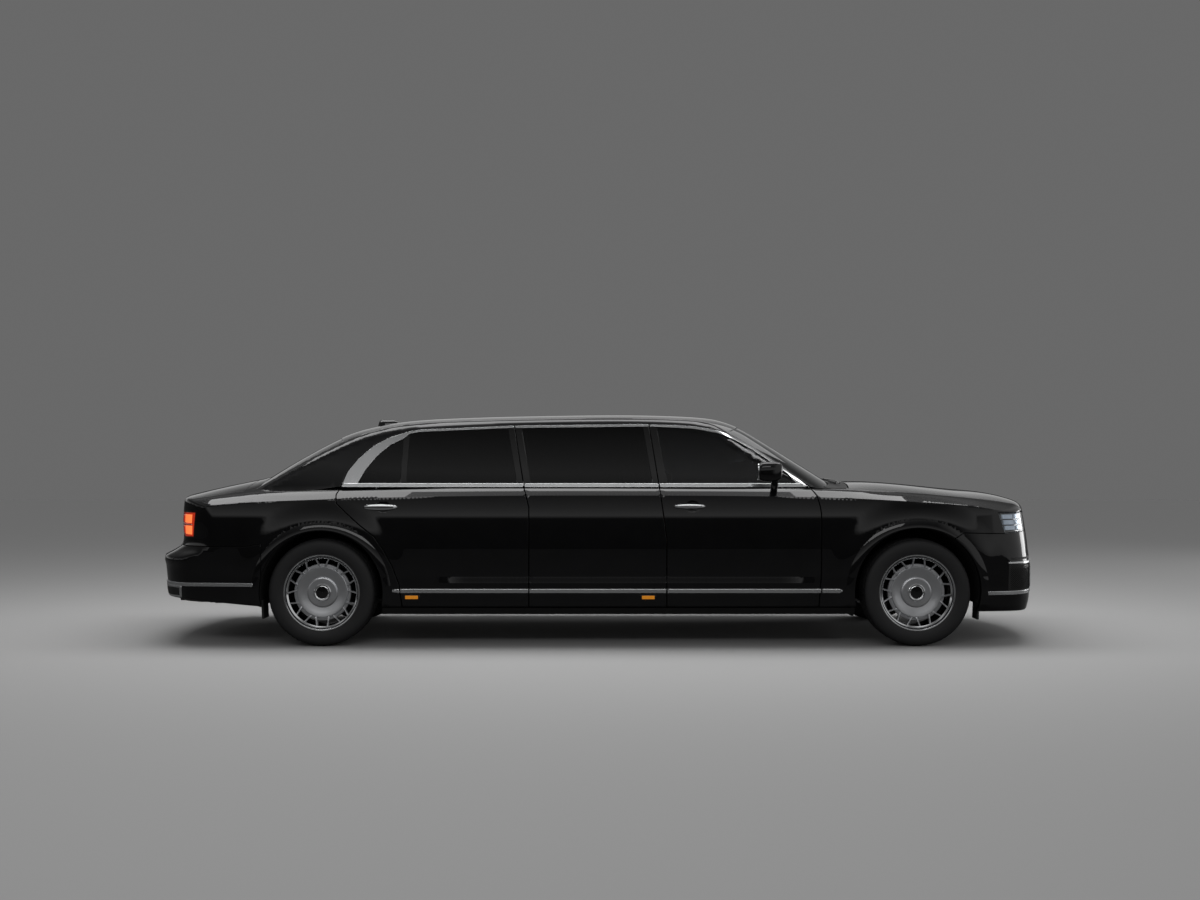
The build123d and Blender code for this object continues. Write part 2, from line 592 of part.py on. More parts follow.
# Door handles: a bar on two feet
for end, (rear_x, front_x, low, high) in HANDLES.items():
    middle_z = (low + high) / 2
    outer = side_y((rear_x + front_x) / 2, middle_z)
    bar = across(
        ((rear_x, low + 8), (rear_x + 22, low), (front_x - 22, low), (front_x, low + 8), (front_x, high - 8),
         (front_x - 22, high), (rear_x + 22, high), (rear_x, high - 8)),
        outer + 22, outer + 34,
    )
    feet = [box(x, x + 26, outer - 30, outer + 23, low + 4, high - 4) for x in (rear_x + 4, front_x - 30)]
    handle = cut(fuse(bar, feet), HULL[-SEAT])
    handle = [solid for solid in handle if solid.volume > 1e4]
    save(f"left_{end}_door_handle", handle)
    save(f"right_{end}_door_handle", [shape.mirror(Plane.XZ) for shape in handle])

# Bonnet and boot lid
bonnet = common(SKIN_LAYER, bonnet_region(-half_gap))
bonnet_corner = cut(
    box(BONNET_AXIS[0] - 40, BONNET_AXIS[0], -900, 900, BONNET_AXIS[1], BONNET_AXIS[1] + 40),
    rod((BONNET_AXIS[0], -900, BONNET_AXIS[1]), (BONNET_AXIS[0], 900, BONNET_AXIS[1]), 12.5),
)
bonnet = cut(bonnet, bonnet_corner, bonnet_sweep())
bonnet_plates, bonnet_reliefs = [], []
for y in (-760.0, 760.0):
    one = hinge((BONNET_AXIS[0], y, BONNET_AXIS[1]), (-1, 0, 0), (0, 1, 0))
    bonnet = fuse(cut(bonnet, one["slot"]), one["lugs"])
    bonnet_plates += one["plate"]
    bonnet_reliefs += one["relief"]
save("bonnet", bonnet)

lid = common(SKIN_LAYER, lid_region(-half_gap))
lid_corner = cut(
    box(LID_AXIS[0], LID_AXIS[0] + 40, -900, 900, LID_AXIS[1], LID_AXIS[1] + 40),
    rod((LID_AXIS[0], -900, LID_AXIS[1]), (LID_AXIS[0], 900, LID_AXIS[1]), HINGE_INSET),
)
lid = cut(lid, lid_corner)
lid_plates = []
for y in (-120.0, 120.0):
    one = hinge((LID_AXIS[0], y, LID_AXIS[1]), (1, 0, 0), (0, -1, 0))
    lid = fuse(cut(lid, one["slot"]), one["lugs"])
    lid_plates += one["plate"]
save("boot_lid", lid)

# Fixed skins
fenders = common(SIDE_SKIN, box(1500, 3400, -1200, 1200, DOOR_BOTTOM, SKIN_SPLIT_Z))
fenders = cut(fenders, door_holes, bonnet_hole, cowl_zone, front_bumper_zone, head_hole, arches)
fenders = [solid for solid in fenders if solid.volume > 1e5]
save("front_fenders", fenders)
centre = common(SIDE_SKIN, both(across(grow(CENTRE_PANEL, -half_gap), 500, 1200)))
centre = common(centre, box(-900, 900, -1200, 1200, DOOR_BOTTOM, SKIN_SPLIT_Z))
save("centre_panels", centre)
quarters = common(SIDE_SKIN, box(-3400, -1400, -1200, 1200, DOOR_BOTTOM, 1400))
quarters = cut(quarters, door_holes, lid_hole, rear_bumper_zone, tail_hole, arches)
quarters = cut(quarters, box(LID_FRONT_X + 40, -1300, -1200, 1200, SKIN_SPLIT_Z, 1400))
quarters = [solid for solid in quarters if solid.volume > 1e5]
save("quarter_panels", quarters)
front_bumper = common(SKIN_LAYER, across(grow(FRONT_BUMPER_SIDE, -0.2), -1200, 1200))
front_bumper = cut(front_bumper, head_hole, grille_hole, arches)
save("front_bumper", [solid for solid in front_bumper if solid.volume > 1e5])
rear_bumper = common(SKIN_LAYER, across(grow(REAR_BUMPER_SIDE, -0.2), -1200, 1200))
save("rear_bumper", [solid for solid in cut(rear_bumper, arches) if solid.volume > 1e5])
save("headlamps", common(cut(HULL[0.0], HULL[45.0]), lamp_region(HEADLAMP_SIDE, 432, 0.0)))
save("tail_lamps", common(SKIN_LAYER, lamp_region(TAIL_LAMP_SIDE, 605, 0.0)))

# Fixed glass
screen_top = [(1085 - 3.3e-4 * y * y, y) for y in range(-900, 901, 100)]
screen_zone = upward(screen_top + [(2200, 900), (2200, -900)], 1168, 1800)
rear_top = [(-1990 + 2.4e-4 * y * y, y) for y in range(-900, 901, 100)]
rear_low = [(-2505 + 2.4e-4 * y * y, y) for y in range(900, -901, -100)]
rear_zone = upward(rear_top + rear_low, 1150, 1800)
screen_hole = common(cabin(-20.0, 62.0), screen_zone)
rear_hole = common(cabin(-20.0, 70.0), rear_zone)
glass_under = cabin(GLASS_INSET + GLASS, 30.0, 990.0)
save("windscreen", common(cut(cabin(GLASS_INSET, 62.2), glass_under), screen_zone))
save("rear_window", common(cut(cabin(GLASS_INSET, 70.2), glass_under), rear_zone))
save("centre_windows", common(both(side_glass), both(across(grow(CENTRE_GLASS, -0.2), 500, 1200))))

# Frame
upper = common(FULL_WALL, box(LID_FRONT_X + 40.3, 2000, -1200, 1200, SKIN_SPLIT_Z + SEAT, 1800))
cowl = common(cut(HULL[0.0], HULL[DOOR_WALL]), box(1500, 1960, -802.7, 802.7, 1000, SKIN_SPLIT_Z + 1))
cowl = cut(cowl, INSIDE)
inner_wall = cut(HULL[SKIN + SEAT], INSIDE)
walls = common(inner_wall, [
    box(1480, 1702, 700, 1200, BODY_BOTTOM, SKIN_SPLIT_Z + 1), box(1480, 1702, -1200, -700, BODY_BOTTOM, SKIN_SPLIT_Z + 1),
    box(-2100, -1400, 700, 1200, BODY_BOTTOM, SKIN_SPLIT_Z + 1), box(-2100, -1400, -1200, -700, BODY_BOTTOM, SKIN_SPLIT_Z + 1),
])
middle = common(inner_wall, both(across(grow(CENTRE_PANEL, -half_gap), 500, 1200)))
middle = common(middle, box(-900, 900, -1200, 1200, DOOR_BOTTOM, SKIN_SPLIT_Z + 1))
boot_wall = common(cut(HULL[SKIN + SEAT], HULL[45.0]), box(-3400, -2099, -1200, 1200, 350, SKIN_SPLIT_Z + 60))
boot_wall = cut(boot_wall, box(LID_FRONT_X + 40, -1300, -1200, 1200, SKIN_SPLIT_Z + 1, 1400), lid_region(-25.0))
firewall = common(HULL[SKIN + SEAT], box(*FIREWALL_X, -1200, 1200, FLOOR_TOP - 30, SKIN_SPLIT_Z + 1))
bulkhead = common(HULL[SKIN + SEAT], box(*BULKHEAD_X, -1200, 1200, FLOOR_TOP - 30, 1120))
shelf = common(HULL[SKIN + SEAT], box(-2560, BULKHEAD_X[1], -1200, 1200, 1085, 1120))
frame = fuse(upper, cowl, walls, middle, boot_wall, firewall, bulkhead, shelf)
frame = cut(frame, door_holes, bonnet_hole, both(across(CENTRE_GLASS, 400, 1200)),
            screen_hole, rear_hole, lid_region(-25.0), common(cut(HULL[0.0], HULL[LID_FLANGE]), lid_hole), bonnet_reliefs)
sill = both(box(-1560, FIREWALL_X[1], 800, 908, BODY_BOTTOM, 430))
under = common(HULL[0.0], both(box(-1560, 1850, 800, 1200, BODY_BOTTOM, DOOR_BOTTOM - half_gap - SEAT)))
rails = both(
    box(FIREWALL_X[0], 3120, 380, 450, 400, 520),
    box(-2900, BULKHEAD_X[1], 380, 450, FLOOR_TOP - 60, BOOT_FLOOR_TOP - 30 - SEAT),
)
cross = [box(3060, 3130, -600, 600, 400, 520), box(-2900, -2840, -600, 600, FLOOR_TOP - 40, BOOT_FLOOR_TOP - 30 - SEAT)]
frame = fuse(frame, sill, under, rails, cross)
frame = cut(frame, wells)
frame = fuse(frame, both(front_plates, rear_plates), bonnet_plates, lid_plates)
frame = [solid for solid in frame if solid.volume > 2e4]
roof_zone = box(-3400, 2200, -1200, 1200, SKIN_SPLIT_Z + SEAT, 1800)
save("roof_frame", [solid for solid in common(frame, roof_zone) if solid.volume > 2e4])
save("body_frame", [solid for solid in cut(frame, box(-3400, 2200, -1200, 1200, SKIN_SPLIT_Z, 1800)) if solid.volume > 2e4])

floor = fuse(
    box(BULKHEAD_X[1] + SEAT, FIREWALL_X[0] - SEAT, -799.7, 799.7, FLOOR_TOP - 30, FLOOR_TOP),
    box(-1550, FIREWALL_X[0] - SEAT, -120, 120, FLOOR_TOP - 1, FLOOR_TOP + 60),
)
boot_floor = common(HULL[45.0], fuse(
    box(-3180, KICK_X, -1200, 1200, BOOT_FLOOR_TOP - 30, BOOT_FLOOR_TOP),
    box(KICK_X - 30, KICK_X, -1200, 1200, BOOT_FLOOR_TOP - 30, KICK_Z),
    box(KICK_X - 30, BULKHEAD_X[0] - SEAT, -1200, 1200, KICK_Z - 30, KICK_Z),
))
save("floor_pan", cut(floor, wells), cut(boot_floor, wells))

# Wheel housings
liners = []
for (axle_x, end), y_top in (((FRONT_AXLE_X, "front"), 1200), ((REAR_AXLE_X, "rear"), 1200)):
    centre_z = TYRE_RADIUS + ARCH_LIFT[end]
    radius = ARCH_RADIUS[end]
    shell = tube((axle_x, ARCH_INNER_Y, centre_z), (0, 1, 0), 600, radius + LINER_WALL, radius)
    wall = Solid.make_cylinder(radius + LINER_WALL, LINER_WALL, Plane(origin=(axle_x, ARCH_INNER_Y - LINER_WALL, centre_z), z_dir=(0, 1, 0)))
    wall = cut(wall, box(axle_x - 140, axle_x + 140, 400, 600, 150, 620))
    part_liner = common(fuse(shell, wall), HULL[SKIN + SEAT])
    liners += cut(part_liner, box(axle_x - 700, axle_x + 700, 400, 1200, 100, 300))
save("arch_liners", both(liners))

# Running gear
tyre, rim = make_tyre(), make_rim()
for end, x in (("front", FRONT_AXLE_X), ("rear", REAR_AXLE_X)):
    for label in ("left", "right"):
        for name, shapes in (("tyre", tyre), ("wheel", rim)):
            placed = at_wheel(shapes, x)
            if label == "right":
                placed = [shape.mirror(Plane.XZ) for shape in placed]
            save(f"{end}_{label}_{name}", placed)

spindle_end = WHEEL_Y + 59.7
kingpin = (FRONT_AXLE_X, KINGPIN_Y)
knuckle = fuse(
    box(FRONT_AXLE_X - 38, FRONT_AXLE_X + 38, KINGPIN_Y - 32, KINGPIN_Y + 26, WHEEL_Z - 148, WHEEL_Z + 148),
    rod((FRONT_AXLE_X, KINGPIN_Y, WHEEL_Z), (FRONT_AXLE_X, spindle_end, WHEEL_Z), HUB_RADIUS),
    box(FRONT_AXLE_X - 150, FRONT_AXLE_X - 30, KINGPIN_Y - 32, KINGPIN_Y - 8, WHEEL_Z - 30, WHEEL_Z - 10),
)
knuckle = cut(knuckle, rod((*kingpin, WHEEL_Z - 160), (*kingpin, WHEEL_Z - 118), 10), rod((*kingpin, WHEEL_Z + 118), (*kingpin, WHEEL_Z + 160), 10))
save("front_left_knuckle", knuckle)
save("front_right_knuckle", [shape.mirror(Plane.XZ) for shape in knuckle])
low, high = WHEEL_Z - 148 - SEAT, WHEEL_Z + 148 + SEAT
wishbone = ((FRONT_AXLE_X - 110, 430), (FRONT_AXLE_X + 110, 430), (FRONT_AXLE_X + 28, 800), (FRONT_AXLE_X - 28, 800))
front_axle = both(
    fuse(upward(wishbone, low - 22, low), rod((*kingpin, low - 5), (*kingpin, low + 26), 9.7),
         box(FRONT_AXLE_X - 120, FRONT_AXLE_X + 120, 0, 450, low - 22, low + 20),
         box(FRONT_AXLE_X - 110, FRONT_AXLE_X + 110, 400, 450, low - 22, 399.8),
         ),
    fuse(upward(((FRONT_AXLE_X - 90, 450.3), (FRONT_AXLE_X + 90, 450.3), (FRONT_AXLE_X + 28, 800), (FRONT_AXLE_X - 28, 800)), high, high + 20),
         rod((*kingpin, high - 26), (*kingpin, high + 5), 9.7),
         box(FRONT_AXLE_X - 90, FRONT_AXLE_X + 90, 450.3, 476, 400, high + 20)),
)
save("front_suspension", fuse(front_axle))
rear_axle = fuse(both(
    rod((REAR_AXLE_X, 0, WHEEL_Z), (REAR_AXLE_X, spindle_end, WHEEL_Z), HUB_RADIUS - 4),
    rod((REAR_AXLE_X, 700, WHEEL_Z), (REAR_AXLE_X, spindle_end, WHEEL_Z), HUB_RADIUS),
    box(REAR_AXLE_X - 40, REAR_AXLE_X + 40, 385, 445, BOOT_FLOOR_TOP - 30, WHEEL_Z),
), rod((REAR_AXLE_X, -90, WHEEL_Z), (REAR_AXLE_X, 90, WHEEL_Z), 105))
save("rear_suspension", rear_axle)
save("engine_block", fuse(
    box(1960, 2700, -330, 330, 430, 980), box(1706, 1962, -160, 160, 330, 640),
    both(box(2250, 2350, 300, 379.8, 440, 500)),
))
save("exhaust_system", both(rod((1900, 200, 263.8), (-2700, 200, 263.8), 26)))

# Cabin
save("front_seats", both(make_seat(820, 390, FLOOR_TOP + SEAT, 520, 60)))
save("rear_seats", both(make_seat(-1425, 271, FLOOR_TOP + SEAT, 418, 80)), both(make_seat(-30, 390, FLOOR_TOP + SEAT, 480, 0, -1)))
dashboard = across(((1639.7, 620), (1639.7, 1062), (1480, 1062), (1345, 1030), (1330, 900), (1420, 700)), -795, 795)
save("dashboard", dashboard)
column = Plane(origin=(1150, 390, 900), z_dir=(-0.86, 0, 0.51))
save("steering_wheel", cut(fuse(
    Solid.make_torus(188, 15, column), rod((1150, 390, 900), (1400, 390, 752), 22),
    box(1135, 1165, 205, 575, 888, 912),
), dashboard))
divider = fuse(box(300, 336, -798, 798, FLOOR_TOP + SEAT, 1101), common(cabin(ROOF_WALL + 0.4, FRAME_WALL + 0.4), box(300, 336, -1000, 1000, 1100, 1760)))
divider = cut(divider, both(box(250, 400, 799, 1200, 1100, 1150)))
save("partition", cut(divider, box(250, 400, -600, 600, 1130, 1500), box(250, 400, -121, 121, 300, FLOOR_TOP + 61)))

# Outer fittings
grille_bars = [box(3000, 3400, y - 5, y + 5, GRILLE_Z[0] + 20, GRILLE_Z[1] - 20) for y in range(-280, 281, 35)]
surround = cut(along(grow(GRILLE, -0.2), 3000, 3400), along(grow(GRILLE, -32), 2900, 3500))
nose_layer = cut(HULL[0.0], HULL[45.0])
back_layer = cut(HULL[10.0], HULL[45.0])
save("grille", fuse(common(nose_layer, surround), common(back_layer, grille_bars)))
pod = across(((-1740, 1590), (-1728, 1612), (-1640, 1656), (-1585, 1654), (-1560, 1628), (-1560, 1600)), -42, 42)
save("antenna_pod", cut(pod, cabin(-SEAT, -SEAT)))
stalk = along(((900, 1095), (1060, 1170), (1060, 1205), (900, 1150)), 1240, 1300)
housing = upward(((1130, 1150), (1140, 1030), (1300, 1030), (1318, 1060), (1290, 1150), (1220, 1165)), 1190, 1335)
mirror = cut(fuse(stalk, housing), HULL[-SEAT], cabin(-SEAT, -SEAT))
mirror = sorted(mirror, key=lambda solid: solid.volume)[-1:]
save("left_mirror", mirror)
save("right_mirror", [shape.mirror(Plane.XZ) for shape in mirror])
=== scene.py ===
import math

import bpy
import numpy as np
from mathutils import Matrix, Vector
from mathutils.geometry import delaunay_2d_cdt


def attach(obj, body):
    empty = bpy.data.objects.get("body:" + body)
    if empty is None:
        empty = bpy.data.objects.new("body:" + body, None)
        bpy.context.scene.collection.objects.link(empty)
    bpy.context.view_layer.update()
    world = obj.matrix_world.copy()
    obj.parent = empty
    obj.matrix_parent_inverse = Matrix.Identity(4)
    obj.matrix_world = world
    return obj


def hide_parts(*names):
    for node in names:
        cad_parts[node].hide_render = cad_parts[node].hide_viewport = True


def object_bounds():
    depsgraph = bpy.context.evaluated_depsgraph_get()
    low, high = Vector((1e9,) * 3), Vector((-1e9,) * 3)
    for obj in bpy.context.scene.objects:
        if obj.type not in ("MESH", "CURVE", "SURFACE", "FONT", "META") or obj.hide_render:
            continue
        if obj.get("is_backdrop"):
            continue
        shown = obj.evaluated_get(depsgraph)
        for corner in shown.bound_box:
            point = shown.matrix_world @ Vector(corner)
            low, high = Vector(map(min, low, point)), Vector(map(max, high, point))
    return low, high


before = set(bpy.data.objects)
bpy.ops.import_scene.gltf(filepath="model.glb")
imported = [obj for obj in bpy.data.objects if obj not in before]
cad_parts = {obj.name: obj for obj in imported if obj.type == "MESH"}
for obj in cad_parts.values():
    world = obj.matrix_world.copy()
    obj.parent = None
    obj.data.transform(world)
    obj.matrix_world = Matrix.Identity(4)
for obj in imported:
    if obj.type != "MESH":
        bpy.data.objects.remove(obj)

cad_low, cad_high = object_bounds()
MM = 0.001

# Outer surface, in millimetres: x, half_width, crease_z, shoulder_y, shoulder_z, top_z
SECTIONS = (
    (-3400, 862, 955, 770, 996, 1010), (-2950, 950, 1003, 850, 1060, 1123), (-2610, 980, 1033, 874, 1096, 1194),
    (-2400, 992, 1047, 888, 1112, 1238), (-1200, 1009, 1083, 930, 1142, 1175), (300, 1010, 1090, 938, 1146, 1165),
    (1500, 1008, 1080, 926, 1138, 1160), (2100, 1004, 1056, 895, 1112, 1169), (2700, 980, 1012, 845, 1066, 1117),
    (3080, 922, 948, 770, 1012, 1073), (3400, 840, 912, 660, 940, 955),
)
ROOF = (  # x, z, bow, crown
    (-2700, 1108, 2.4e-4, 0), (-2300, 1356, 2.4e-4, 0.5e-4), (-1950, 1536, 2.2e-4, 0.9e-4),
    (-1700, 1607, 1.6e-4, 0.9e-4), (-1430, 1648, 0.9e-4, 0.9e-4), (-1000, 1671, 0.3e-4, 0.9e-4),
    (-400, 1686, 0, 0.9e-4), (200, 1691.6, 0, 0.9e-4), (640, 1681, -0.6e-4, 0.9e-4), (880, 1660, -1.6e-4, 0.9e-4),
    (1015, 1623, -2.6e-4, 0.9e-4), (1150, 1562, -3.3e-4, 0.9e-4), (1560, 1311, -3.3e-4, 0.4e-4),
    (1960, 1062, -3.3e-4, 0),
)
CABIN = (  # x, y at the belt, y at the roof rail
    (-2800, 775, 590), (-1900, 880, 684), (-900, 914, 712), (300, 924, 722), (1100, 915, 708), (2000, 848, 630),
)
ENDS = (  # z, front x, rear x
    (190, 3268, -3200), (312, 3301, -3252), (390, 3305, -3272), (562, 3307.2, -3290), (640, 3300, -3298),
    (668, 3296, -3244), (720, 3291, -3170), (903, 3263, -3166), (1020, 3240, -3158), (1260, 3150, -3140),
)
# How far back the nose and the tail have fallen, y millimetres out
NOSE_CORNER = (
    (0, 0), (260, -17), (520, -68), (770, -150), (828, -187), (878, -236), (930, -310), (985, -420), (1120, -600),
)
TAIL_CORNER = (
    (0, 0), (260, -13), (520, -50), (690, -92), (770, -124), (840, -172), (900, -240), (950, -318), (1010, -440),
    (1120, -640),
)
AXLES = ((2302.0, 398.0, 458.0, 520.0), (-1998.0, 391.0, 446.0, 505.0))  # x, arch z, arch radius, brow radius
BROW_FLARE, BROW_SWELL, BROW_REACH = 12, 9, 170
CUPS = ((678.0, 1013.0, 54.0, 42.0), (-1548.0, 1008.0, 58.0, 40.0))  # handle recesses: x, z, half sizes
CUP_DEPTH = 17
SPEAR_X, SPEAR_LOW, SPEAR_TOP, SPEAR_RELIEF = (-1200.0, 1620.0), 461.5, 506.0, 10
WIDEST_Z, UPPER_Z, LOW_ARC, HIGH_ARC = 780, 900, 7000, 2600  # arcs are twice their radius
BELT_Z, RAIL_RISE, CABIN_BULGE = 1150, 450, 44
SHOULDER_ROUND, NOSE_ROUND, TAIL_ROUND, ROOF_ROUND = 20, 42, 26, 34
_curves = {}


def between(x, table, column):
    """One column of a table at x, on a smooth curve through its rows."""
    key = (id(table), column)
    if key not in _curves:
        xs = np.array([row[0] for row in table], float)
        ys = np.array([row[column] for row in table], float)
        last = len(xs) - 1
        slope = np.array([(ys[min(j + 1, last)] - ys[max(j - 1, 0)]) / (xs[min(j + 1, last)] - xs[max(j - 1, 0)])
                          for j in range(last + 1)])
        _curves[key] = (xs, ys, slope)
    xs, ys, slope = _curves[key]
    i = np.clip(np.searchsorted(xs, x, side="right") - 1, 0, len(xs) - 2)
    w = xs[i + 1] - xs[i]
    t = np.clip((x - xs[i]) / w, 0, 1)
    return ((2 * t**3 - 3 * t**2 + 1) * ys[i] + (t**3 - 2 * t**2 + t) * w * slope[i]
            + (3 * t**2 - 2 * t**3) * ys[i + 1] + (t**3 - t**2) * w * slope[i + 1])


def at(table, column, x):
    return float(between(np.array([float(x)]), table, column)[0])


def smax(a, b, k):
    h = np.clip(0.5 + 0.5 * (a - b) / k, 0, 1)
    return b * (1 - h) + a * h + k * h * (1 - h)


def smooth(t):
    t = np.clip(t, 0, 1)
    return t * t * (3 - 2 * t)


def side_drop(z):
    """How far the side has come in from its widest line."""
    rise, top = z - UPPER_Z, UPPER_Z - WIDEST_Z
    return np.where(z <= UPPER_Z, (z - WIDEST_Z) ** 2 / LOW_ARC,
                    top**2 / LOW_ARC + 2 * top / LOW_ARC * rise + rise**2 / HIGH_ARC)


def side_width(x, z):
    w, crease = between(x, SECTIONS, 1), between(x, SECTIONS, 2)
    sy, sz = between(x, SECTIONS, 3), between(x, SECTIONS, 4)
    foot = np.interp(z, (150, 232, 300, SPEAR_TOP), (-115, -60, -14, -(SPEAR_TOP - WIDEST_Z) ** 2 / LOW_ARC))
    y = w + np.where(z > SPEAR_TOP, -side_drop(np.minimum(z, crease)), foot)
    top = w - side_drop(crease)
    y = np.where(z > crease, top + (sy - top) / (sz - crease) * (z - crease), y)
    for ax, az, arch, brow in AXLES:
        r = np.hypot(x - ax, z - az)
        t = np.clip((brow - r) / (brow - arch), 0, 1)
        flare = BROW_FLARE * (1 - (1 - t) ** 2) + BROW_SWELL * smooth((brow + BROW_REACH - r) / BROW_REACH)
        y = y + smooth((z - 240) / 200) * flare
    taper = smooth((x - SPEAR_X[0]) / 260) * smooth((SPEAR_X[1] - x) / 320)
    ramp = np.clip((SPEAR_TOP - z) / (SPEAR_TOP - SPEAR_LOW), 0, 1)
    y = y + SPEAR_RELIEF * taper * ramp * (1 - 0.5 * smooth((423 - z) / 40))
    for cx, cz, rx, rz in CUPS:
        y = y - CUP_DEPTH * smooth((1 - ((x - cx) / rx) ** 2 - ((z - cz) / rz) ** 2) / 0.6)
    return y


def deck_z(x, y):
    top, sy, sz = between(x, SECTIONS, 5), between(x, SECTIONS, 3), between(x, SECTIONS, 4)
    return top - (top - sz) * (y / sy) ** 2


def body_field(x, y, z):
    """Below zero inside the lower body, above zero outside it."""
    y = np.abs(y)
    sides = smax(y - side_width(x, z), z - deck_z(x, y), SHOULDER_ROUND)
    nose = x - between(z, ENDS, 1) - between(y, NOSE_CORNER, 1)
    tail = between(z, ENDS, 2) - between(y, TAIL_CORNER, 1) - x
    return smax(sides, np.maximum(nose, tail) / 1.15, np.where(x > 0, NOSE_ROUND, TAIL_ROUND))


def cabin_field(x, y, z):
    y = np.abs(y)
    s = (z - BELT_Z) / RAIL_RISE
    bulge = CABIN_BULGE * np.where((s > 0) & (s < 1), s * (1 - s), 0)
    width = between(x, CABIN, 1) * (1 - s) + between(x, CABIN, 2) * s + bulge
    back = x - between(x, ROOF, 2) * y * y
    back = x - between(back, ROOF, 2) * y * y
    roof = z - between(back, ROOF, 1) + between(back, ROOF, 3) * y * y
    return smax(y - width, roof * 0.9, ROOF_ROUND)


def columns(*values):
    return np.stack([np.broadcast_to(np.asarray(v, float), np.shape(values[0])) for v in values], axis=1)


def solve(field, origin, way, level=0, near=20.0, far=1500.0):
    """Where each ray meets the field's level."""
    lo, hi = np.full(len(origin), near), np.full(len(origin), far)
    for _ in range(24):
        mid = (lo + hi) / 2
        p = origin + way * mid[:, None]
        out = field(p[:, 0], p[:, 1], p[:, 2]) > level
        hi, lo = np.where(out, mid, hi), np.where(out, lo, mid)
    return origin + way * ((lo + hi) / 2)[:, None]


# Each mapping takes a flat drawing (u, v) to the surface, or to a level above or below it.
CORE_Y, CORE_Z = 480, 780
END_X, END_R = 2450.0, 860.0
FAN_X, FAN_Z, FAN_R = 2960.0, 700.0, 430.0
ROOF_R, ROOF_Z = 800.0, 1000.0


def side_target(u, v):
    """u is x and v is z. Above the shoulder, v carries on inwards over the deck."""
    sy, sz = between(u, SECTIONS, 3), between(u, SECTIONS, 4)
    over = np.maximum(v - sz, 0)
    y = np.where(over > 0, sy - over, side_width(u, np.minimum(v, sz)))
    return y, np.where(over > 0, deck_z(u, y), v)


def on_side(u, v, level):
    y, z = side_target(u, v)
    way = columns(0 * u, y - CORE_Y, z - CORE_Z)
    way /= np.linalg.norm(way, axis=1)[:, None]
    return solve(body_field, columns(u, CORE_Y, CORE_Z), way, level, 60, 900)


def around(end):
    """u runs round the nose or tail, v is z."""
    def mapping(u, v, level):
        turn = np.clip(u / END_R, -math.pi / 2, math.pi / 2)
        back = np.abs(u) - END_R * math.pi / 2
        way = columns(end * np.cos(turn), np.sin(turn), 0 * u)
        return solve(body_field, columns(end * (END_X - np.maximum(back, 0)), 0 * u, v), way, level, 100, 1500)
    return mapping


def over_end(end):
    """u runs along the deck and down over the end, v is y."""
    def mapping(u, v, level):
        angle = np.maximum(end * u - FAN_X, 0) / FAN_R
        way = columns(end * np.sin(angle), 0 * u, np.cos(angle))
        return solve(body_field, columns(end * np.minimum(end * u, FAN_X), v, FAN_Z), way, level, 40, 900)
    return mapping


on_nose, on_tail, on_bonnet, on_lid = around(1), around(-1), over_end(1), over_end(-1)


def on_cabin(u, v, level):
    """u is x, v runs round the roof."""
    turn = v / ROOF_R
    return solve(cabin_field, columns(u, 0 * u, ROOF_Z), columns(0 * u, np.sin(turn), np.cos(turn)), level, 30, 1300)


def on_glazing(u, v, level):
    """u is x and v is z on the cabin's side."""
    return solve(cabin_field, columns(u, 0 * u, v), columns(0 * u, 1, 0 * u), level, 200, 1300)


# Points seen from the side (x, z) or from an end (y, z), found in the drawings above
def dense(points, step, close=False):
    found = []
    n = len(points)
    for i in range(n if close else n - 1):
        (ax, ay), (bx, by) = points[i], points[(i + 1) % n]
        parts = max(1, int(math.hypot(bx - ax, by - ay) / step + 0.5))
        found += [(ax + (bx - ax) * k / parts, ay + (by - ay) * k / parts) for k in range(parts)]
    return found if close else found + [points[-1]]


def from_side(points, step):
    x, z = np.array(dense(points, step), float).T
    return solve(body_field, columns(x, 0, z), columns(0 * x, 1, 0), 0, 50, 1200)


def to_end(p, end):
    ahead = end * p[:, 0] - END_X
    u = np.where(ahead > 0, END_R * np.arctan2(p[:, 1], np.maximum(ahead, 1e-9)), END_R * math.pi / 2 - ahead)
    return list(zip(u, p[:, 2]))


def side_to_end(points, end=1):
    return to_end(from_side(points, 40), end)


def front_to_end(points, end=1):
    y, z = np.array(dense(points, 40), float).T
    return to_end(solve(body_field, columns(0 * y + end * END_X, y, z), columns(0 * y + end, 0, 0), 0, 20, 1000), end)


def front_loop(points, end=1):
    return front_to_end([*points, points[0]], end)[:-1]


def end_to_fan(points, end):
    y, z = np.array(dense(points, 40), float).T
    p = solve(body_field, columns(0 * y + end * 2600, y, z), columns(0 * y + end, 0, 0), 0, 20, 900)
    return list(zip(end * (FAN_X + FAN_R * np.arctan2(end * p[:, 0] - FAN_X, p[:, 2] - FAN_Z)), p[:, 1]))


def to_side(p):
    x, aim = p[:, 0], np.arctan2(p[:, 2] - CORE_Z, p[:, 1] - CORE_Y)
    lo, hi = np.full(len(x), 300.0), between(x, SECTIONS, 4) + between(x, SECTIONS, 3) - 481
    for _ in range(30):
        v = (lo + hi) / 2
        y, z = side_target(x, v)
        past = np.arctan2(z - CORE_Z, y - CORE_Y) > aim
        hi, lo = np.where(past, v, hi), np.where(past, lo, v)
    return list(zip(x, (lo + hi) / 2))


def view_to_side(points):
    return to_side(from_side(points, 30))


def fan_to_side(mapping, points):
    u, v = np.array(dense(points, 40), float).T
    return to_side(mapping(u, v, 0))


def side_to_cabin(points):
    x, z = np.array(dense(points, 30), float).T
    return list(zip(x, ROOF_R * np.arctan2(on_glazing(x, z, 0)[:, 1], z - ROOF_Z)))


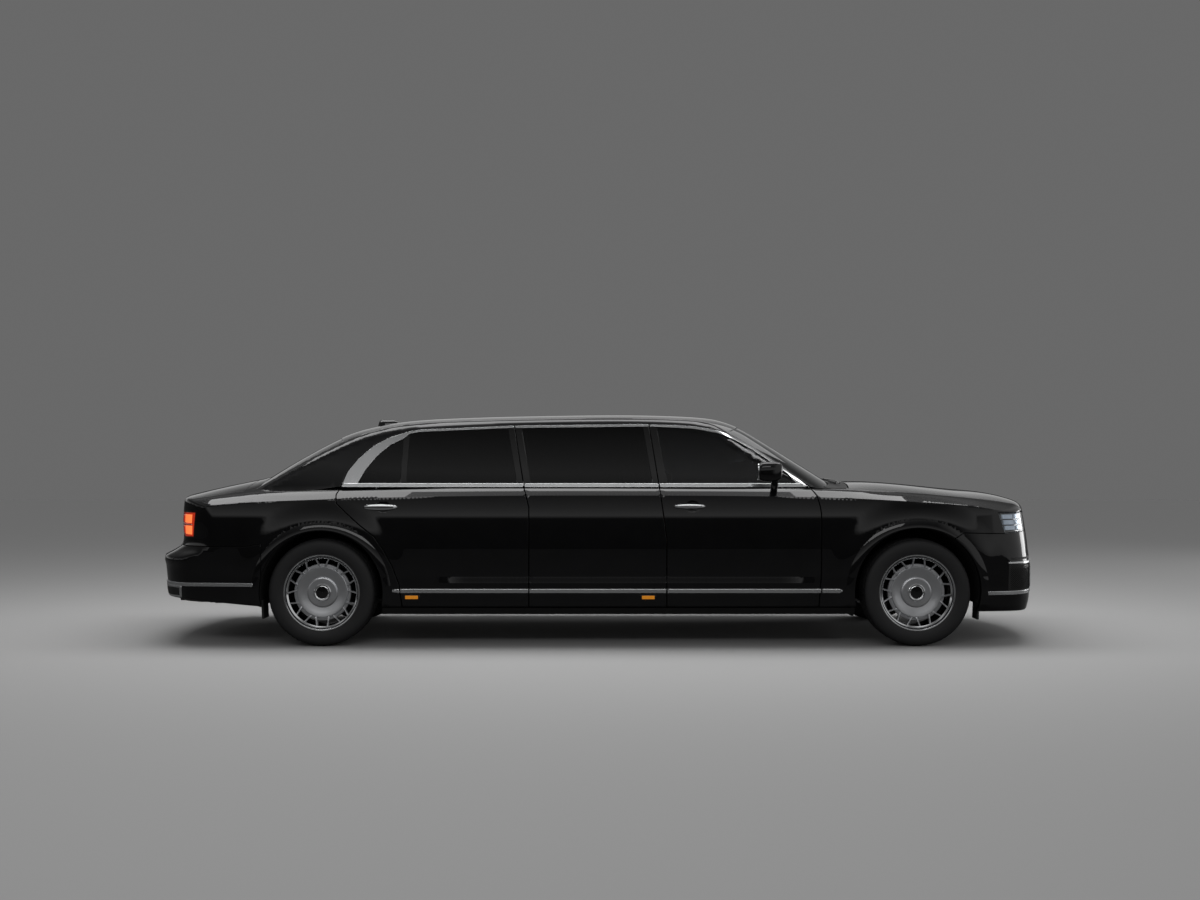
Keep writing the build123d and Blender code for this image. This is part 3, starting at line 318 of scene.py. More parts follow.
# Flat outlines
def grow(points, distance):
    """A closed outline with every side moved outwards; a negative distance shrinks it."""
    n = len(points)
    area = sum(points[i][0] * points[(i + 1) % n][1] - points[(i + 1) % n][0] * points[i][1] for i in range(n))
    sign = 1 if area > 0 else -1
    found = []
    for i in range(n):
        before, here, after = points[i - 1], points[i], points[(i + 1) % n]
        sides = []
        for a, b in ((before, here), (here, after)):
            length = math.hypot(b[0] - a[0], b[1] - a[1]) or 1e-9
            sides.append((sign * (b[1] - a[1]) / length, -sign * (b[0] - a[0]) / length))
        (ax, ay), (bx, by) = sides
        scale = distance / max(0.35, 1 + ax * bx + ay * by)
        found.append((here[0] + (ax + bx) * scale, here[1] + (ay + by) * scale))
    return found


def inside(polygon, x, y):
    hit = np.zeros(np.shape(x), bool)
    px, py = np.array(polygon).T
    for i in range(len(px)):
        ax, ay, bx, by = px[i - 1], py[i - 1], px[i], py[i]
        crosses = (ay > y) != (by > y)
        if crosses.any():
            hit ^= crosses & (x < ax + (y - ay) * (bx - ax) / (by - ay if by != ay else 1e-9))
    return hit


def clear_of(line, x, y, gap, close=True):
    best = np.full(np.shape(x), 1e9)
    p = np.array(line)
    for a, b in zip(p, np.roll(p, -1, axis=0) if close else p[1:]):
        d = b - a
        t = np.clip(((x - a[0]) * d[0] + (y - a[1]) * d[1]) / max(d @ d, 1e-9), 0, 1)
        best = np.minimum(best, np.hypot(x - a[0] - t * d[0], y - a[1] - t * d[1]))
    return best > gap


def clip(points, height, keep_above):
    """The part of a closed outline above or below a height."""
    found = []
    for a, b in zip(points[-1:] + points[:-1], points):
        ina, inb = (a[1] > height) == keep_above, (b[1] > height) == keep_above
        if ina != inb:
            t = (height - a[1]) / (b[1] - a[1])
            found.append((a[0] + t * (b[0] - a[0]), height))
        if inb:
            found.append(b)
    return found


def arc(cx, cy, r, start, end, count=24):
    turns = [math.radians(start + (end - start) * k / count) for k in range(count + 1)]
    return [(cx + r * math.cos(t), cy + r * math.sin(t)) for t in turns]


def box(x0, x1, z0, z1):
    return [(x0, z0), (x1, z0), (x1, z1), (x0, z1)]


def mirrored_loop(half):
    """A closed outline about u = 0 from its half."""
    return half + [(-u, v) for u, v in reversed(half)]


# Materials
SLOTS = {}


def node(tree, kind, **values):
    made = tree.nodes.new("ShaderNode" + kind)
    for key, value in values.items():
        made.inputs[key.replace("_", " ")].default_value = value
    return made


def ramp_node(tree, stops):
    ramp = node(tree, "ValToRGB")
    ramp.color_ramp.elements.remove(ramp.color_ramp.elements[1])
    for k, (position, colour) in enumerate(stops):
        stop = ramp.color_ramp.elements[0] if k == 0 else ramp.color_ramp.elements.new(position)
        stop.position, stop.color = position, (*colour, 1)
    return ramp


def material(name, slot, colour, rough, metal=0.0, coat=0.0, noise=30.0, bump=0.0, sheen=0.0, glass=0.0, ior=1.5,
             glow=0.0, rough_range=0.06, tone=0.25, stretch=(1, 1, 1), wave=None):
    """A node material: noise varies its colour, gloss and grain. wave gives the grain as cells."""
    SLOTS[name] = slot
    m = bpy.data.materials.new(name)
    m.use_nodes = True
    tree, links = m.node_tree, m.node_tree.links
    shader = tree.nodes["Principled BSDF"]
    for key, value in (("Metallic", metal), ("Coat Weight", coat), ("Coat Roughness", 0.02), ("IOR", ior),
                       ("Sheen Weight", sheen), ("Transmission Weight", glass)):
        shader.inputs[key].default_value = value
    if glow:
        shader.inputs["Emission Color"].default_value = (*colour, 1)
        shader.inputs["Emission Strength"].default_value = glow
    fit = node(tree, "Mapping", Scale=stretch)
    links.new(node(tree, "TexCoord").outputs["Object"], fit.inputs["Vector"])
    grain = node(tree, "TexNoise", Scale=noise, Detail=4)
    links.new(fit.outputs["Vector"], grain.inputs["Vector"])
    ramp = ramp_node(tree, ((0.3, [c * (1 - tone) for c in colour]), (0.7, [min(1, c * (1 + tone)) for c in colour])))
    links.new(grain.outputs["Fac"], ramp.inputs["Fac"])
    links.new(ramp.outputs["Color"], shader.inputs["Base Color"])
    gloss = node(tree, "MapRange", To_Min=max(0, rough - rough_range), To_Max=rough + rough_range)
    links.new(grain.outputs["Fac"], gloss.inputs["Value"])
    links.new(gloss.outputs["Result"], shader.inputs["Roughness"])
    if bump:
        height = grain.outputs["Fac"]
        if wave:
            pattern = node(tree, "TexVoronoi", Scale=wave)
            links.new(fit.outputs["Vector"], pattern.inputs["Vector"])
            height = pattern.outputs["Distance"]
        relief = node(tree, "Bump", Strength=bump, Distance=0.001)
        links.new(height, relief.inputs["Height"])
        links.new(relief.outputs["Normal"], shader.inputs["Normal"])
    return m


PAINT = material("black_paint", "paint", (0.0035, 0.0035, 0.004), 0.3, coat=1.0, noise=6, rough_range=0.03, ior=1.15)
GLOSS_BLACK = material("gloss_black_trim", "paint", (0.006, 0.006, 0.006), 0.1, coat=0.6, noise=200, rough_range=0.03)
CHROME = material("bright_chrome", "chrome", (0.8, 0.81, 0.82), 0.1, 1.0, noise=12, rough_range=0.015, tone=0.02)
SATIN = material("satin_silver", "chrome", (0.86, 0.87, 0.88), 0.24, 1.0, noise=9, rough_range=0.02, tone=0.02)
TINT = material("tinted_glass", "glass", (0.2, 0.21, 0.22), 0.0, glass=1.0, noise=4, rough_range=0.0, tone=0.03)
PRIVACY = material("privacy_glass", "glass", (0.05, 0.052, 0.056), 0.0, glass=1.0, noise=4, rough_range=0.0,
                   tone=0.03)
CLEAR = material("clear_lens", "lamp_clear", (0.95, 0.96, 0.97), 0.0, glass=1.0, noise=5, rough_range=0.0, tone=0.02,
                 ior=1.3)
RUBBER = material("tyre_rubber", "tyre", (0.02, 0.02, 0.021), 0.62, noise=260, bump=0.25, rough_range=0.12)
ALLOY = material("silver_alloy", "alloy", (0.66, 0.67, 0.69), 0.3, 0.92, coat=0.4, noise=14, rough_range=0.02,
                 tone=0.03)
POLISHED = material("polished_rim", "alloy", (0.82, 0.83, 0.84), 0.12, 1.0, noise=15, rough_range=0.02, tone=0.02)
DARK_METAL = material("dark_cast_metal", "steel", (0.05, 0.05, 0.052), 0.45, 0.7, noise=120, bump=0.3)
DISC_METAL = material("brake_disc", "steel", (0.4, 0.4, 0.41), 0.35, 1.0, noise=200, stretch=(1, 8, 1))
PLASTIC = material("black_plastic", "plastic", (0.018, 0.018, 0.018), 0.6, noise=500, bump=0.35, wave=900)
LINER = material("wheel_liner_felt", "plastic", (0.008, 0.008, 0.008), 0.95, noise=300, bump=0.5)
LEATHER = material("tan_leather", "leather", (0.28, 0.2, 0.14), 0.45, noise=60, bump=0.4, wave=700, sheen=0.2)
DARK_LEATHER = material("dark_leather", "leather", (0.03, 0.027, 0.025), 0.5, noise=60, bump=0.4, wave=700)
CARPET = material("carpet", "plastic", (0.045, 0.04, 0.038), 0.95, noise=900, bump=0.8, sheen=0.5)
RED = material("tail_lamp_red", "lamp_red", (0.85, 0.05, 0.015), 0.08, coat=1.0, noise=25, tone=0.2, glow=0.35,
               rough_range=0.02)
AMBER_HOT = material("tail_lamp_cell", "lamp_red", (1.0, 0.22, 0.06), 0.15, coat=1.0, noise=25, tone=0.15, glow=1.1)
AMBER = material("side_marker_amber", "lamp_red", (0.95, 0.33, 0.02), 0.12, coat=1.0, noise=40, tone=0.1, glow=0.25)
LED = material("lamp_led", "lamp_clear", (0.5, 0.58, 0.68), 0.12, 0.3, noise=30, tone=0.1, glow=0.16)
PLATE = material("blank_plate", "plastic", (0.75, 0.75, 0.73), 0.4, coat=0.3, noise=90, tone=0.04)
STEEL = material("steel_pipe", "pipe", (0.35, 0.34, 0.33), 0.38, 1.0, noise=50, tone=0.2)
UNDER = material("underseal", "plastic", (0.01, 0.01, 0.01), 0.85, noise=80, bump=0.6)


# Meshes
def place(name, points, faces, mat, body, normals=None, smooth_angle=40, slot=None, replaced=()):
    mesh = bpy.data.meshes.new(name)
    mesh.from_pydata([tuple(p) for p in np.asarray(points, float) * MM], [], faces)
    mesh.materials.append(mat)
    mesh.polygons.foreach_set("use_smooth", [smooth_angle is not None] * len(mesh.polygons))
    if normals is not None:
        mesh.normals_split_custom_set([tuple(n) for n in normals])
    elif smooth_angle is not None:
        mesh.set_sharp_from_angle(angle=math.radians(smooth_angle))
    mesh.update()
    piece = bpy.data.objects.new(name, mesh)
    bpy.context.scene.collection.objects.link(piece)
    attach(piece, body)
    slot or SLOTS[mat.name]
    if replaced:
        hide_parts(*replaced)
    return piece


def on_both_sides(name, part, mat, bodies="body", outward=True, **rest):
    """A left part and its mirror image. outward: whether the left part's faces already wind outwards."""
    for side, label in ((1, "left"), (-1, "right")):
        body = bodies if isinstance(bodies, str) else bodies[0 if side > 0 else 1]
        faces = part[1] if (side > 0) == outward else [f[::-1] for f in part[1]]
        place(name.format(label), np.array(part[0]) * (1, side, 1), faces, mat, body,
              **{k: [r.format(label) for r in v] if k == "replaced" else v for k, v in rest.items()})


def gradient(field, p):
    g = []
    for axis in range(3):
        step = np.zeros(3)
        step[axis] = 0.4
        a, b = p + step, p - step
        g.append(field(a[:, 0], a[:, 1], a[:, 2]) - field(b[:, 0], b[:, 1], b[:, 2]))
    g = np.stack(g, axis=1)
    return g / (np.linalg.norm(g, axis=1)[:, None] + 1e-12)


def scatter(loops, step, creases, fine):
    """Grid points inside the loops, kept off the edges, plus the points of each crease."""
    px, py = np.array(loops[0]).T
    seeds = []
    for x0, x1, y0, y1, gap in [(px.min(), px.max(), py.min(), py.max(), step), *fine]:
        gx, gy = np.meshgrid(np.arange(x0 + gap / 2, x1, gap), np.arange(y0 + gap / 2, y1, gap))
        seeds.append((gx.ravel(), gy.ravel(), gap))
    seeds += [(*np.array(dense(line, 12)).T, 4.0) for line in creases]
    kept = []
    for k, (gx, gy, gap) in enumerate(seeds):
        ok = within(loops, gx, gy)
        for loop in loops:
            ok &= clear_of(loop, gx, gy, gap * 0.4)
        if k == 0:
            for x0, x1, y0, y1, _ in fine:
                ok &= ~((gx > x0) & (gx < x1) & (gy > y0) & (gy < y1))
        if k <= len(fine):
            for line in creases:
                ok &= clear_of(line, gx, gy, gap * 0.35, False)
        kept += list(zip(gx[ok], gy[ok]))
    return kept


def within(loops, x, y):
    ok = inside(loops[0], x, y)
    for hole in loops[1:]:
        ok &= ~inside(hole, x, y)
    return ok


def panel(name, mapping, outline, mat, bodies="body", holes=(), level=0.0, thick=20.0, lip=3.0, step=30.0,
          creases=(), fine=(), replaced=(), mirrored=True):
    """A sheet cut to an outline, laid on the surface, with rounded edges. fine: boxes with a grid of their own."""
    field = cabin_field if mapping in (on_cabin, on_glazing) else body_field
    outer_loops = [dense(list(loop), step * 0.7, close=True) for loop in (outline, *holes)]
    loops = [grow(loop, lip if k else -lip) for k, loop in enumerate(outer_loops)]
    flat, edges = [], []
    for loop in loops:
        n = len(loop)
        edges += [(len(flat) + i, len(flat) + (i + 1) % n) for i in range(n)]
        flat += loop
    corners = [Vector(p) for p in flat + scatter(loops, step, creases, fine)]
    points, _, tris, origin, _, _ = delaunay_2d_cdt(corners, edges, [], 1, 1e-5)
    u, v = np.array([p[0] for p in points]), np.array([p[1] for p in points])
    tris = np.array([t for t in tris if len(t) == 3])
    tris = tris[within(loops, u[tris].mean(axis=1), v[tris].mean(axis=1))]
    where = {j: i for i, found in enumerate(origin) for j in found}
    front, back = mapping(u, v, level), mapping(u, v, level - thick)
    a, b, c = front[tris[:, 0]], front[tris[:, 1]], front[tris[:, 2]]
    turned = (np.cross(b - a, c - a) * gradient(field, (a + b + c) / 3)).sum(axis=1) < 0
    tris[turned] = tris[turned][:, ::-1]
    n = len(u)
    corner = tris.ravel()
    spread = np.repeat(front[tris].mean(axis=1), 3, axis=0)
    sheet_normals = gradient(field, front[corner] + 0.04 * (spread - front[corner]))
    faces = [tuple(t) for t in tris] + [tuple(t[::-1] + n) for t in tris]
    normals = [sheet_normals, -sheet_normals.reshape(-1, 3, 3)[:, ::-1].reshape(-1, 3)]
    verts, base, start = [front, back], 2 * n, 0
    rims = []
    shoulder = level - min(lip, thick * 0.45)
    for loop in outer_loops:
        m = len(loop)
        ou, ov = np.array(loop).T
        rim_a, rim_b = mapping(ou, ov, shoulder), mapping(ou, ov, level - thick)
        idx = np.array([where.get(start + i, 0) for i in range(m)])
        away = rim_a - mapping(u[idx], v[idx], shoulder)
        away /= np.linalg.norm(away, axis=1)[:, None] + 1e-12
        up = gradient(field, front[idx])
        verts += [rim_a, rim_b]
        ring_a, ring_b = base + np.arange(m), base + m + np.arange(m)
        for i in range(m):
            j = (i + 1) % m
            rims += [((idx[i], ring_a[i], ring_a[j], idx[j]), (up[i], away[i], away[j], up[j])),
                     ((ring_a[i], ring_b[i], ring_b[j], ring_a[j]), (away[i], away[i], away[j], away[j])),
                     ((ring_b[i], idx[i] + n, idx[j] + n, ring_b[j]), (-up[i], -up[i], -up[j], -up[j]))]
        base += 2 * m
        start += m
    verts = np.concatenate(verts)
    for face, block in rims:
        p, block = verts[list(face)], np.array(block)
        if np.cross(p[2] - p[0], p[3] - p[1]) @ block.sum(axis=0) < 0:
            face, block = face[::-1], block[::-1]
        faces.append(face)
        normals.append(block)
    faces = [tuple(int(i) for i in f) for f in faces]
    normals = np.concatenate(normals)
    for side, label in ((1, "left"), (-1, "right")) if mirrored else ((1, ""),):
        turned_faces, turned_normals = faces, normals
        if side < 0:
            ends = np.cumsum([len(f) for f in faces])
            turned_faces = [f[::-1] for f in faces]
            turned_normals = np.concatenate([normals[e - len(f):e][::-1] for f, e in zip(faces, ends)])
        body = bodies if isinstance(bodies, str) else bodies[0 if side > 0 else 1]
        nodes = [r.replace("SIDE", label) for r in replaced if side > 0 or "SIDE" in r]
        place(f"{label}_{name}" if mirrored else name, verts * (1, side, 1), turned_faces, mat, body,
              turned_normals * (1, side, 1), replaced=nodes)


# Shut lines and glass, in side view
FRONT_DOOR = [
    (1587, 284.5), (1604.5, 520), (1604.5, 960), (1596, 1012), (1575, 1090), (1533, 1150), (1394, 1262), (1271, 1353),
    (1145, 1438), (1016, 1510), (885, 1563), (716, 1593), (557, 1603), (372, 1608), (441, 1150), (470, 940),
    (492, 780), (492, 284.5),
]
REAR_ARC = [(-620, 1599), (-1320, 1570), (-1395, 1556), (-1526, 1517), (-1652, 1451), (-1761, 1353), (-1831, 1262)]
REAR_DOOR = [
    (-500.5, 284.5), (-500.5, 1006), (-540, 1150), *REAR_ARC, (-1874, 1152), (-1896, 1094), (-1888, 1034),
    (-1820, 969), (-1722, 881), (-1615, 797), (-1549, 702), (-1484, 584), (-1435.5, 451), (-1412.5, 284.5),
]
CENTRE_PANEL = [
    (492, 284.5), (492, 780), (470, 940), (441, 1150), (372, 1608), (308, 1610), (-620, 1599), (-540, 1150),
    (-500.5, 1006), (-500.5, 284.5),
]
FRONT_GLASS = [
    (1448, 1179), (1378, 1248), (1256, 1337), (1132, 1421), (1006, 1492), (880, 1543), (714, 1573), (557, 1583),
    (428, 1588), (500, 1179),
]
CENTRE_GLASS = [(392, 1179), (328, 1590), (-566, 1580), (-492, 1179)]
REAR_GLASS = [(-592, 1179), (-666, 1579), (-1318, 1551), (-1392, 1536), (-1397, 1179)]
QUARTER_GLASS = [(-1440, 1179), (-1434, 1500), (-1525, 1456), (-1620, 1376), (-1700, 1273), (-1752, 1179)]
BELT, HALF_GAP = 1146.0, 2.5
FRONT_SETS = ("left_front_door_set", "right_front_door_set")
REAR_SETS = ("left_rear_door_set", "right_rear_door_set")
fa, ra = AXLES
crease = view_to_side([(x, at(SECTIONS, 2, x)) for x in range(-3080, 3081, 40)])
spear_lines = [[(x, z) for x in range(-1180, 1601, 60)] for z in (SPEAR_TOP, SPEAR_LOW)]
side_lines = [crease, *spear_lines, *[arc(ra[0], ra[1], r, -16, 100, 40) for r in (505, 475.5, 455)]]
for name, outline, sets, (cx, cz, rx, rz), windows, tint in (
    ("front_door", FRONT_DOOR, FRONT_SETS, CUPS[0], [FRONT_GLASS], TINT),
    ("rear_door", REAR_DOOR, REAR_SETS, CUPS[1], [REAR_GLASS, QUARTER_GLASS], PRIVACY),
):
    low = clip(outline, BELT, False)
    panel(f"{name}_skin", on_side, grow(low, -HALF_GAP), PAINT, sets, thick=16, creases=side_lines,
          fine=[(cx - rx - 6, cx + rx + 6, cz - rz - 6, cz + rz + 6, 6.0)], replaced=[f"SIDE_{name}"])
    panel(f"{name}_inner_panel", on_side, grow(clip(low, 1138, False), -20), DARK_LEATHER, sets, level=-16.5,
          thick=58, step=70)
    panel(f"{name}_window_frame", on_glazing, grow(clip(outline, BELT, True), -HALF_GAP), GLOSS_BLACK, sets,
          holes=[grow(w, -0.5) for w in windows], thick=40, step=45)
    for k, window in enumerate(windows):
        panel(f"{name}_glass_{k}", on_glazing, window, tint, sets, level=-5, thick=6, lip=0.8, step=60,
              replaced=() if k else [f"SIDE_{name}_glass"])
panel("centre_panel_skin", on_side, grow(clip(CENTRE_PANEL, BELT, False), -HALF_GAP), PAINT, thick=16,
      creases=side_lines, replaced=["centre_panels"])
panel("centre_window_frame", on_glazing, grow(clip(CENTRE_PANEL, BELT, True), -HALF_GAP), GLOSS_BLACK,
      holes=[grow(CENTRE_GLASS, -0.5)], thick=40, step=45)
panel("centre_window_glass", on_glazing, CENTRE_GLASS, PRIVACY, level=-5, thick=6, lip=0.8, step=60,
      replaced=["centre_windows"])


# Wings, bonnet, boot lid and bumpers
def deck_height(x, y):
    """How high up the side drawing the deck is y millimetres out from the middle."""
    return at(SECTIONS, 4, x) + at(SECTIONS, 3, x) - y


def bonnet_rear(y):
    return 1900 - 69 * (y / 800) ** 2


brows = [arc(ax, az, r, -16, 196, 66) for ax, az, inner, outer in AXLES
         for r in (outer, (inner + outer) / 2, inner + 9)]
bonnet_front = end_to_fan([(748, 972), (600, 970), (400, 970), (200, 970), (0, 970)], 1)
half = [(bonnet_rear(y) + HALF_GAP, y) for y in (0, 200, 400, 550, 680, 760, 797.5)]
half += [(2300, 785), (2700, 777), (3000, 767), *bonnet_front]
bonnet = half + [(p, -y) for p, y in reversed(half[1:-1])]
wing = [(1589.5, 284.5), (1607, 520), (1607, 960), (1598.5, 1012), (1578, 1090), (1537, 1150)]
wing += [(x, deck_height(x, y)) for x, y in ((1537, 920), (1700, 880), (1805, 850))]
wing += fan_to_side(on_bonnet, [(1815, 802.5), (2300, 790), (2700, 782), (3000, 772), (bonnet_front[0][0] + 4, 753)])
wing += view_to_side([(wing[-1][0], 963), (2891, 963), (2943, 813.5), (2630, 822.3)])
wing += arc(fa[0], fa[1], fa[2], 56.1, 180 + math.degrees(math.asin((fa[1] - 284.5) / fa[2])), 40)
panel("front_wing", on_side, wing, PAINT, creases=[crease, *brows[:3]], fine=[(2400, 3130, 930, 1110, 11)],
      replaced=["front_fenders"])

quarter = [(-1898.6, 1094), (-1890.6, 1033), (-1822, 967), (-1724, 879), (-1617.5, 795), (-1551.5, 701),
           (-1486.5, 583), (-1438, 451), (-1415, 284.5), (-1562, 284.5)]
quarter += arc(ra[0], ra[1], ra[2], -math.degrees(math.asin((ra[1] - 300) / ra[2])),
               math.degrees(math.acos((-2427.5 - ra[0]) / ra[2])), 40)
quarter += [(-2427.5, 742)]
lid_corner = end_to_fan([(782.5, 966)], -1)[0][0]
corner_x = float(on_lid(np.array([lid_corner]), np.array([782.5]), 0)[0, 0])
inner_x = [float(solve(body_field, np.array([[-END_X, 604.0, z]]), np.array([[-1.0, 0, 0]]))[0, 0])
           for z in (721.5, 786, 963)]
quarter += view_to_side([(-2560, 721.5), (inner_x[0], 721.5), (inner_x[1], 786), (-2949, 788), (-2930, 963),
                         (inner_x[2], 963), (corner_x, 965)])
quarter += fan_to_side(on_lid, [(lid_corner + 3, 782.5), (-2900, 782.5), (-2599, 782.5)])
quarter += [(x, deck_height(x, min(at(CABIN, 1, x) - 26, 850))) for x in (-2599, -2500, -2300, -2100, -1900)]
quarter += [(-1880, 1150)]
panel("rear_quarter", on_side, quarter, PAINT, creases=[crease, *brows[3:]],
      fine=[(-3110, -2945, 715, 1120, 10), (-2945, -2500, 1000, 1120, 12)], replaced=["quarter_panels"])
panel("bonnet_skin", on_bonnet, bonnet, PAINT, "bonnet_panel", mirrored=False, step=30, thick=9, replaced=["bonnet"])
half = [(-2604.5, 0), (-2604.5, 400), (-2604.5, 777.5), (-2900, 777.5)]
half += end_to_fan([(777.5, 970), (700, 970), (603, 970)], -1)
half += end_to_fan([(597.5, 966), (597.5, 860), (597.5, 724.5), (400, 724.5), (0, 724.5)], -1)
panel("boot_lid_skin", on_lid, half + [(p, -y) for p, y in reversed(half[1:-1])], PAINT, "boot_lid_panel",
      mirrored=False, step=36, replaced=["boot_lid"])
scuttle = [(bonnet_rear(y) - 3.5, y) for y in range(-800, 801, 100)] + [(1700, 850), (1640, 0), (1700, -850)]
panel("scuttle", on_bonnet, scuttle, PLASTIC, mirrored=False, level=-3, step=40)
deck = [(-2599.5, -779), (-2599.5, 779), (-2500, 800), (-2350, 780), (-2350, -780), (-2500, -800)]
panel("rear_deck", on_lid, deck, PAINT, mirrored=False, step=40)

half = side_to_end(arc(fa[0], fa[1], fa[2], -19.1, 55.5, 30) + [(2630, 819.5), (2945, 811), (3011, 820.5)])
half += [(END_R * 0.86, 824)] + front_to_end([(434, 824.5), (434, 962), (0, 962)])[:-1]
end_brows = []
for (ax, az, inner, outer), start, stop, end, count in ((fa, -16, 50, 1, 3), (ra, 150, 196, -1, 2)):
    for r in (outer, (inner + outer) / 2, inner + 9)[:count]:
        line = side_to_end(arc(ax, az, r, start, stop, 30), end)
        end_brows += [line, [(-u, v) for u, v in line]]
panel("front_bumper_skin", on_nose, mirrored_loop(half), PAINT,
      holes=[front_loop([(-320, 560), (320, 560), (335, 952), (-335, 952)])], mirrored=False, step=34,
      creases=end_brows[:6], replaced=["front_bumper"])
half = side_to_end(arc(ra[0], ra[1], ra[2], 194.3, 165.7, 8)
                   + [(-2430.2, 740), (-2560, 718.8), (-3130, 718.8)], -1) + [(END_R * 0.5, 718.8)]
low_half = side_to_end([(-2453, 290), (-3030, 342)], -1) + [(END_R * 0.6, 352), (0, 352)]
rear = mirrored_loop(half) + [(-u, v) for u, v in low_half] + low_half[-2::-1]
panel("rear_bumper_skin", on_tail, rear, PAINT, mirrored=False, step=34, creases=end_brows[6:],
      replaced=["rear_bumper"])


# Roof, pillars and screens
def cabin_edge(x, inset):
    """How far round the roof the screen's side edge lies."""
    y, z = 600.0 + 0 * x, 1300.0 + 0 * x
    for _ in range(30):
        z = on_cabin(x, ROOF_R * np.arctan2(y, np.maximum(z - ROOF_Z, 1)), 0)[:, 2]
        s = (z - BELT_Z) / RAIL_RISE
        y = between(x, CABIN, 1) * (1 - s) + between(x, CABIN, 2) * s - inset
    return ROOF_R * np.arctan2(y, z - ROOF_Z)


def screen(top_x, low_x, inset, bow):
    """A screen's outline around the cabin: top edge, side, low edge and back."""
    step = (low_x - top_x) / 12
    sides = np.array([top_x + bow * 620**2 * (1 - k / 12) + step * k for k in range(13)])
    right = list(zip(sides, cabin_edge(sides, inset)))
    top = []
    for k in range(-6, 7):
        v = right[0][1] * k / 6
        y = abs(on_cabin(np.array([float(top_x)]), np.array([v]), 0)[0, 1])
        top.append((top_x + bow * y * y, v))
    low = [(low_x, right[-1][1] * k / 6) for k in range(6, -7, -1)]
    return top[:-1] + right + low[1:-1] + [(x, -v) for x, v in reversed(right)][:-1]


front_screen, rear_screen = screen(1085, 1836, 62, -3.3e-4), screen(-1990, -2520, 70, 2.4e-4)
edge = [(1850, 1118), (1700, 1118), (1541, 1152)] + [(x, z + 2.6) for x, z in FRONT_DOOR[6:14]]
edge += [(372, 1610.6), (308, 1612.6)] + [(x - 2, z + 2) for x, z in [*REAR_ARC, (-1875, 1150)]]
edge = side_to_cabin(edge + [(-1960, 1140), (-2120, 1120), (-2330, 1085), (-2560, 1060)])
low_front = [(1850, v) for v in np.linspace(-edge[0][1], edge[0][1], 30)[1:-1]]
low_rear = [(-2560, v) for v in np.linspace(edge[-1][1], -edge[-1][1], 30)[1:-1]]
panel("roof_and_pillars", on_cabin, edge + low_rear + [(x, -v) for x, v in reversed(edge)] + low_front, PAINT,
      holes=[front_screen, rear_screen], thick=36, lip=4, step=34, mirrored=False, replaced=["roof_frame"])
for name, outline, tint, node_name in (("windscreen_glass", front_screen, TINT, "windscreen"),
                                       ("rear_window_glass", rear_screen, PRIVACY, "rear_window")):
    panel(name, on_cabin, outline, tint, level=-5, thick=6, lip=1, step=45, mirrored=False, replaced=[node_name])

# Trim laid on the surface, each row also mirrored: name, mapping, outline, material, bodies, level, thick, lip, step
front_outer = [(1524, 1152)] + [(x - 1.5, z - 2.5) for x, z in FRONT_DOOR[6:13]] + [(377, 1604.5)]
front_inner = [(1440, 1176), *FRONT_GLASS[1:9], (381, 1589)]
centre_rim = [(367, 1605.5), (308, 1607), (-614.5, 1596.5), (-611.5, 1580), (-566, 1580), (328, 1590), (370, 1590)]
rear_outer = [(-625, 1596), (-1320, 1567), (-1394, 1553), (-1525, 1514), (-1650, 1448), (-1758, 1351),
              (-1828, 1261), (-1871, 1151)]
rear_inner = [(-628.5, 1580), *REAR_GLASS[1:4], *QUARTER_GLASS[1:], (-1765, 1151)]
belts = [[(x0, 1148), (x1, 1148), (x1 + slope1, 1177), (x0 + slope0, 1177)] for x0, x1, slope0, slope1 in
         ((446, 1508, -3, -24), (-536, 436, 3, -3), (-1868, -545, 8, 3))]


def end_band(x0, x1, y, z0, z1, end=1):
    """A band between two heights, from the side round to y on the nose or tail."""
    start = side_to_end([(x0, z0), (x1, z0)], end)
    return start + front_to_end([(y, z0), (y, z1)], end) + side_to_end([(x1, z1), (x0, z1)], end)


mesh_zone = side_to_end([(2968, 402), (2972, 588)]) + front_to_end([(640, 588), (640, 402)])
rear_strip = side_to_end([(-2490, 431), (-3100, 431)], -1) + [(0.0, 431), (0.0, 459)]
rear_strip += side_to_end([(-3100, 459), (-2490, 459)], -1)
head = side_to_end([(2945, 812.3), (2891.7, 960.7), (2990, 960.7)])
head += front_to_end([(700, 960.7), (433, 960.7), (433, 826.3), (640, 825)])
head += side_to_end([(3011, 822.3), (2945, 812.3)])[:-1]
finisher = side_to_end([(-3022, 346), (-3075, 346)], -1)
finisher += front_to_end([(640, 346), (560, 350), (560, 432), (640, 436)], -1)
finisher += side_to_end([(-3075, 437), (-3022, 434)], -1)
tail = side_to_end([(-2949.3, 790.3), (-2930.3, 960.7), (-3030, 960.7)], -1)
tail += front_to_end([(800, 960.7), (607, 960.7), (607, 788.3), (800, 788.3)], -1)
tail += side_to_end([(-3040, 788.3), (-2949.3, 790.3)], -1)[:-1]
tail_out = min(side_to_end([(-2952, 800), (-2938, 950)], -1), key=lambda p: p[0])[0] - 10
tail_in = front_to_end([(640, 870), (650, 870)], -1)[0][0]
tail_mid = tail_out - 92
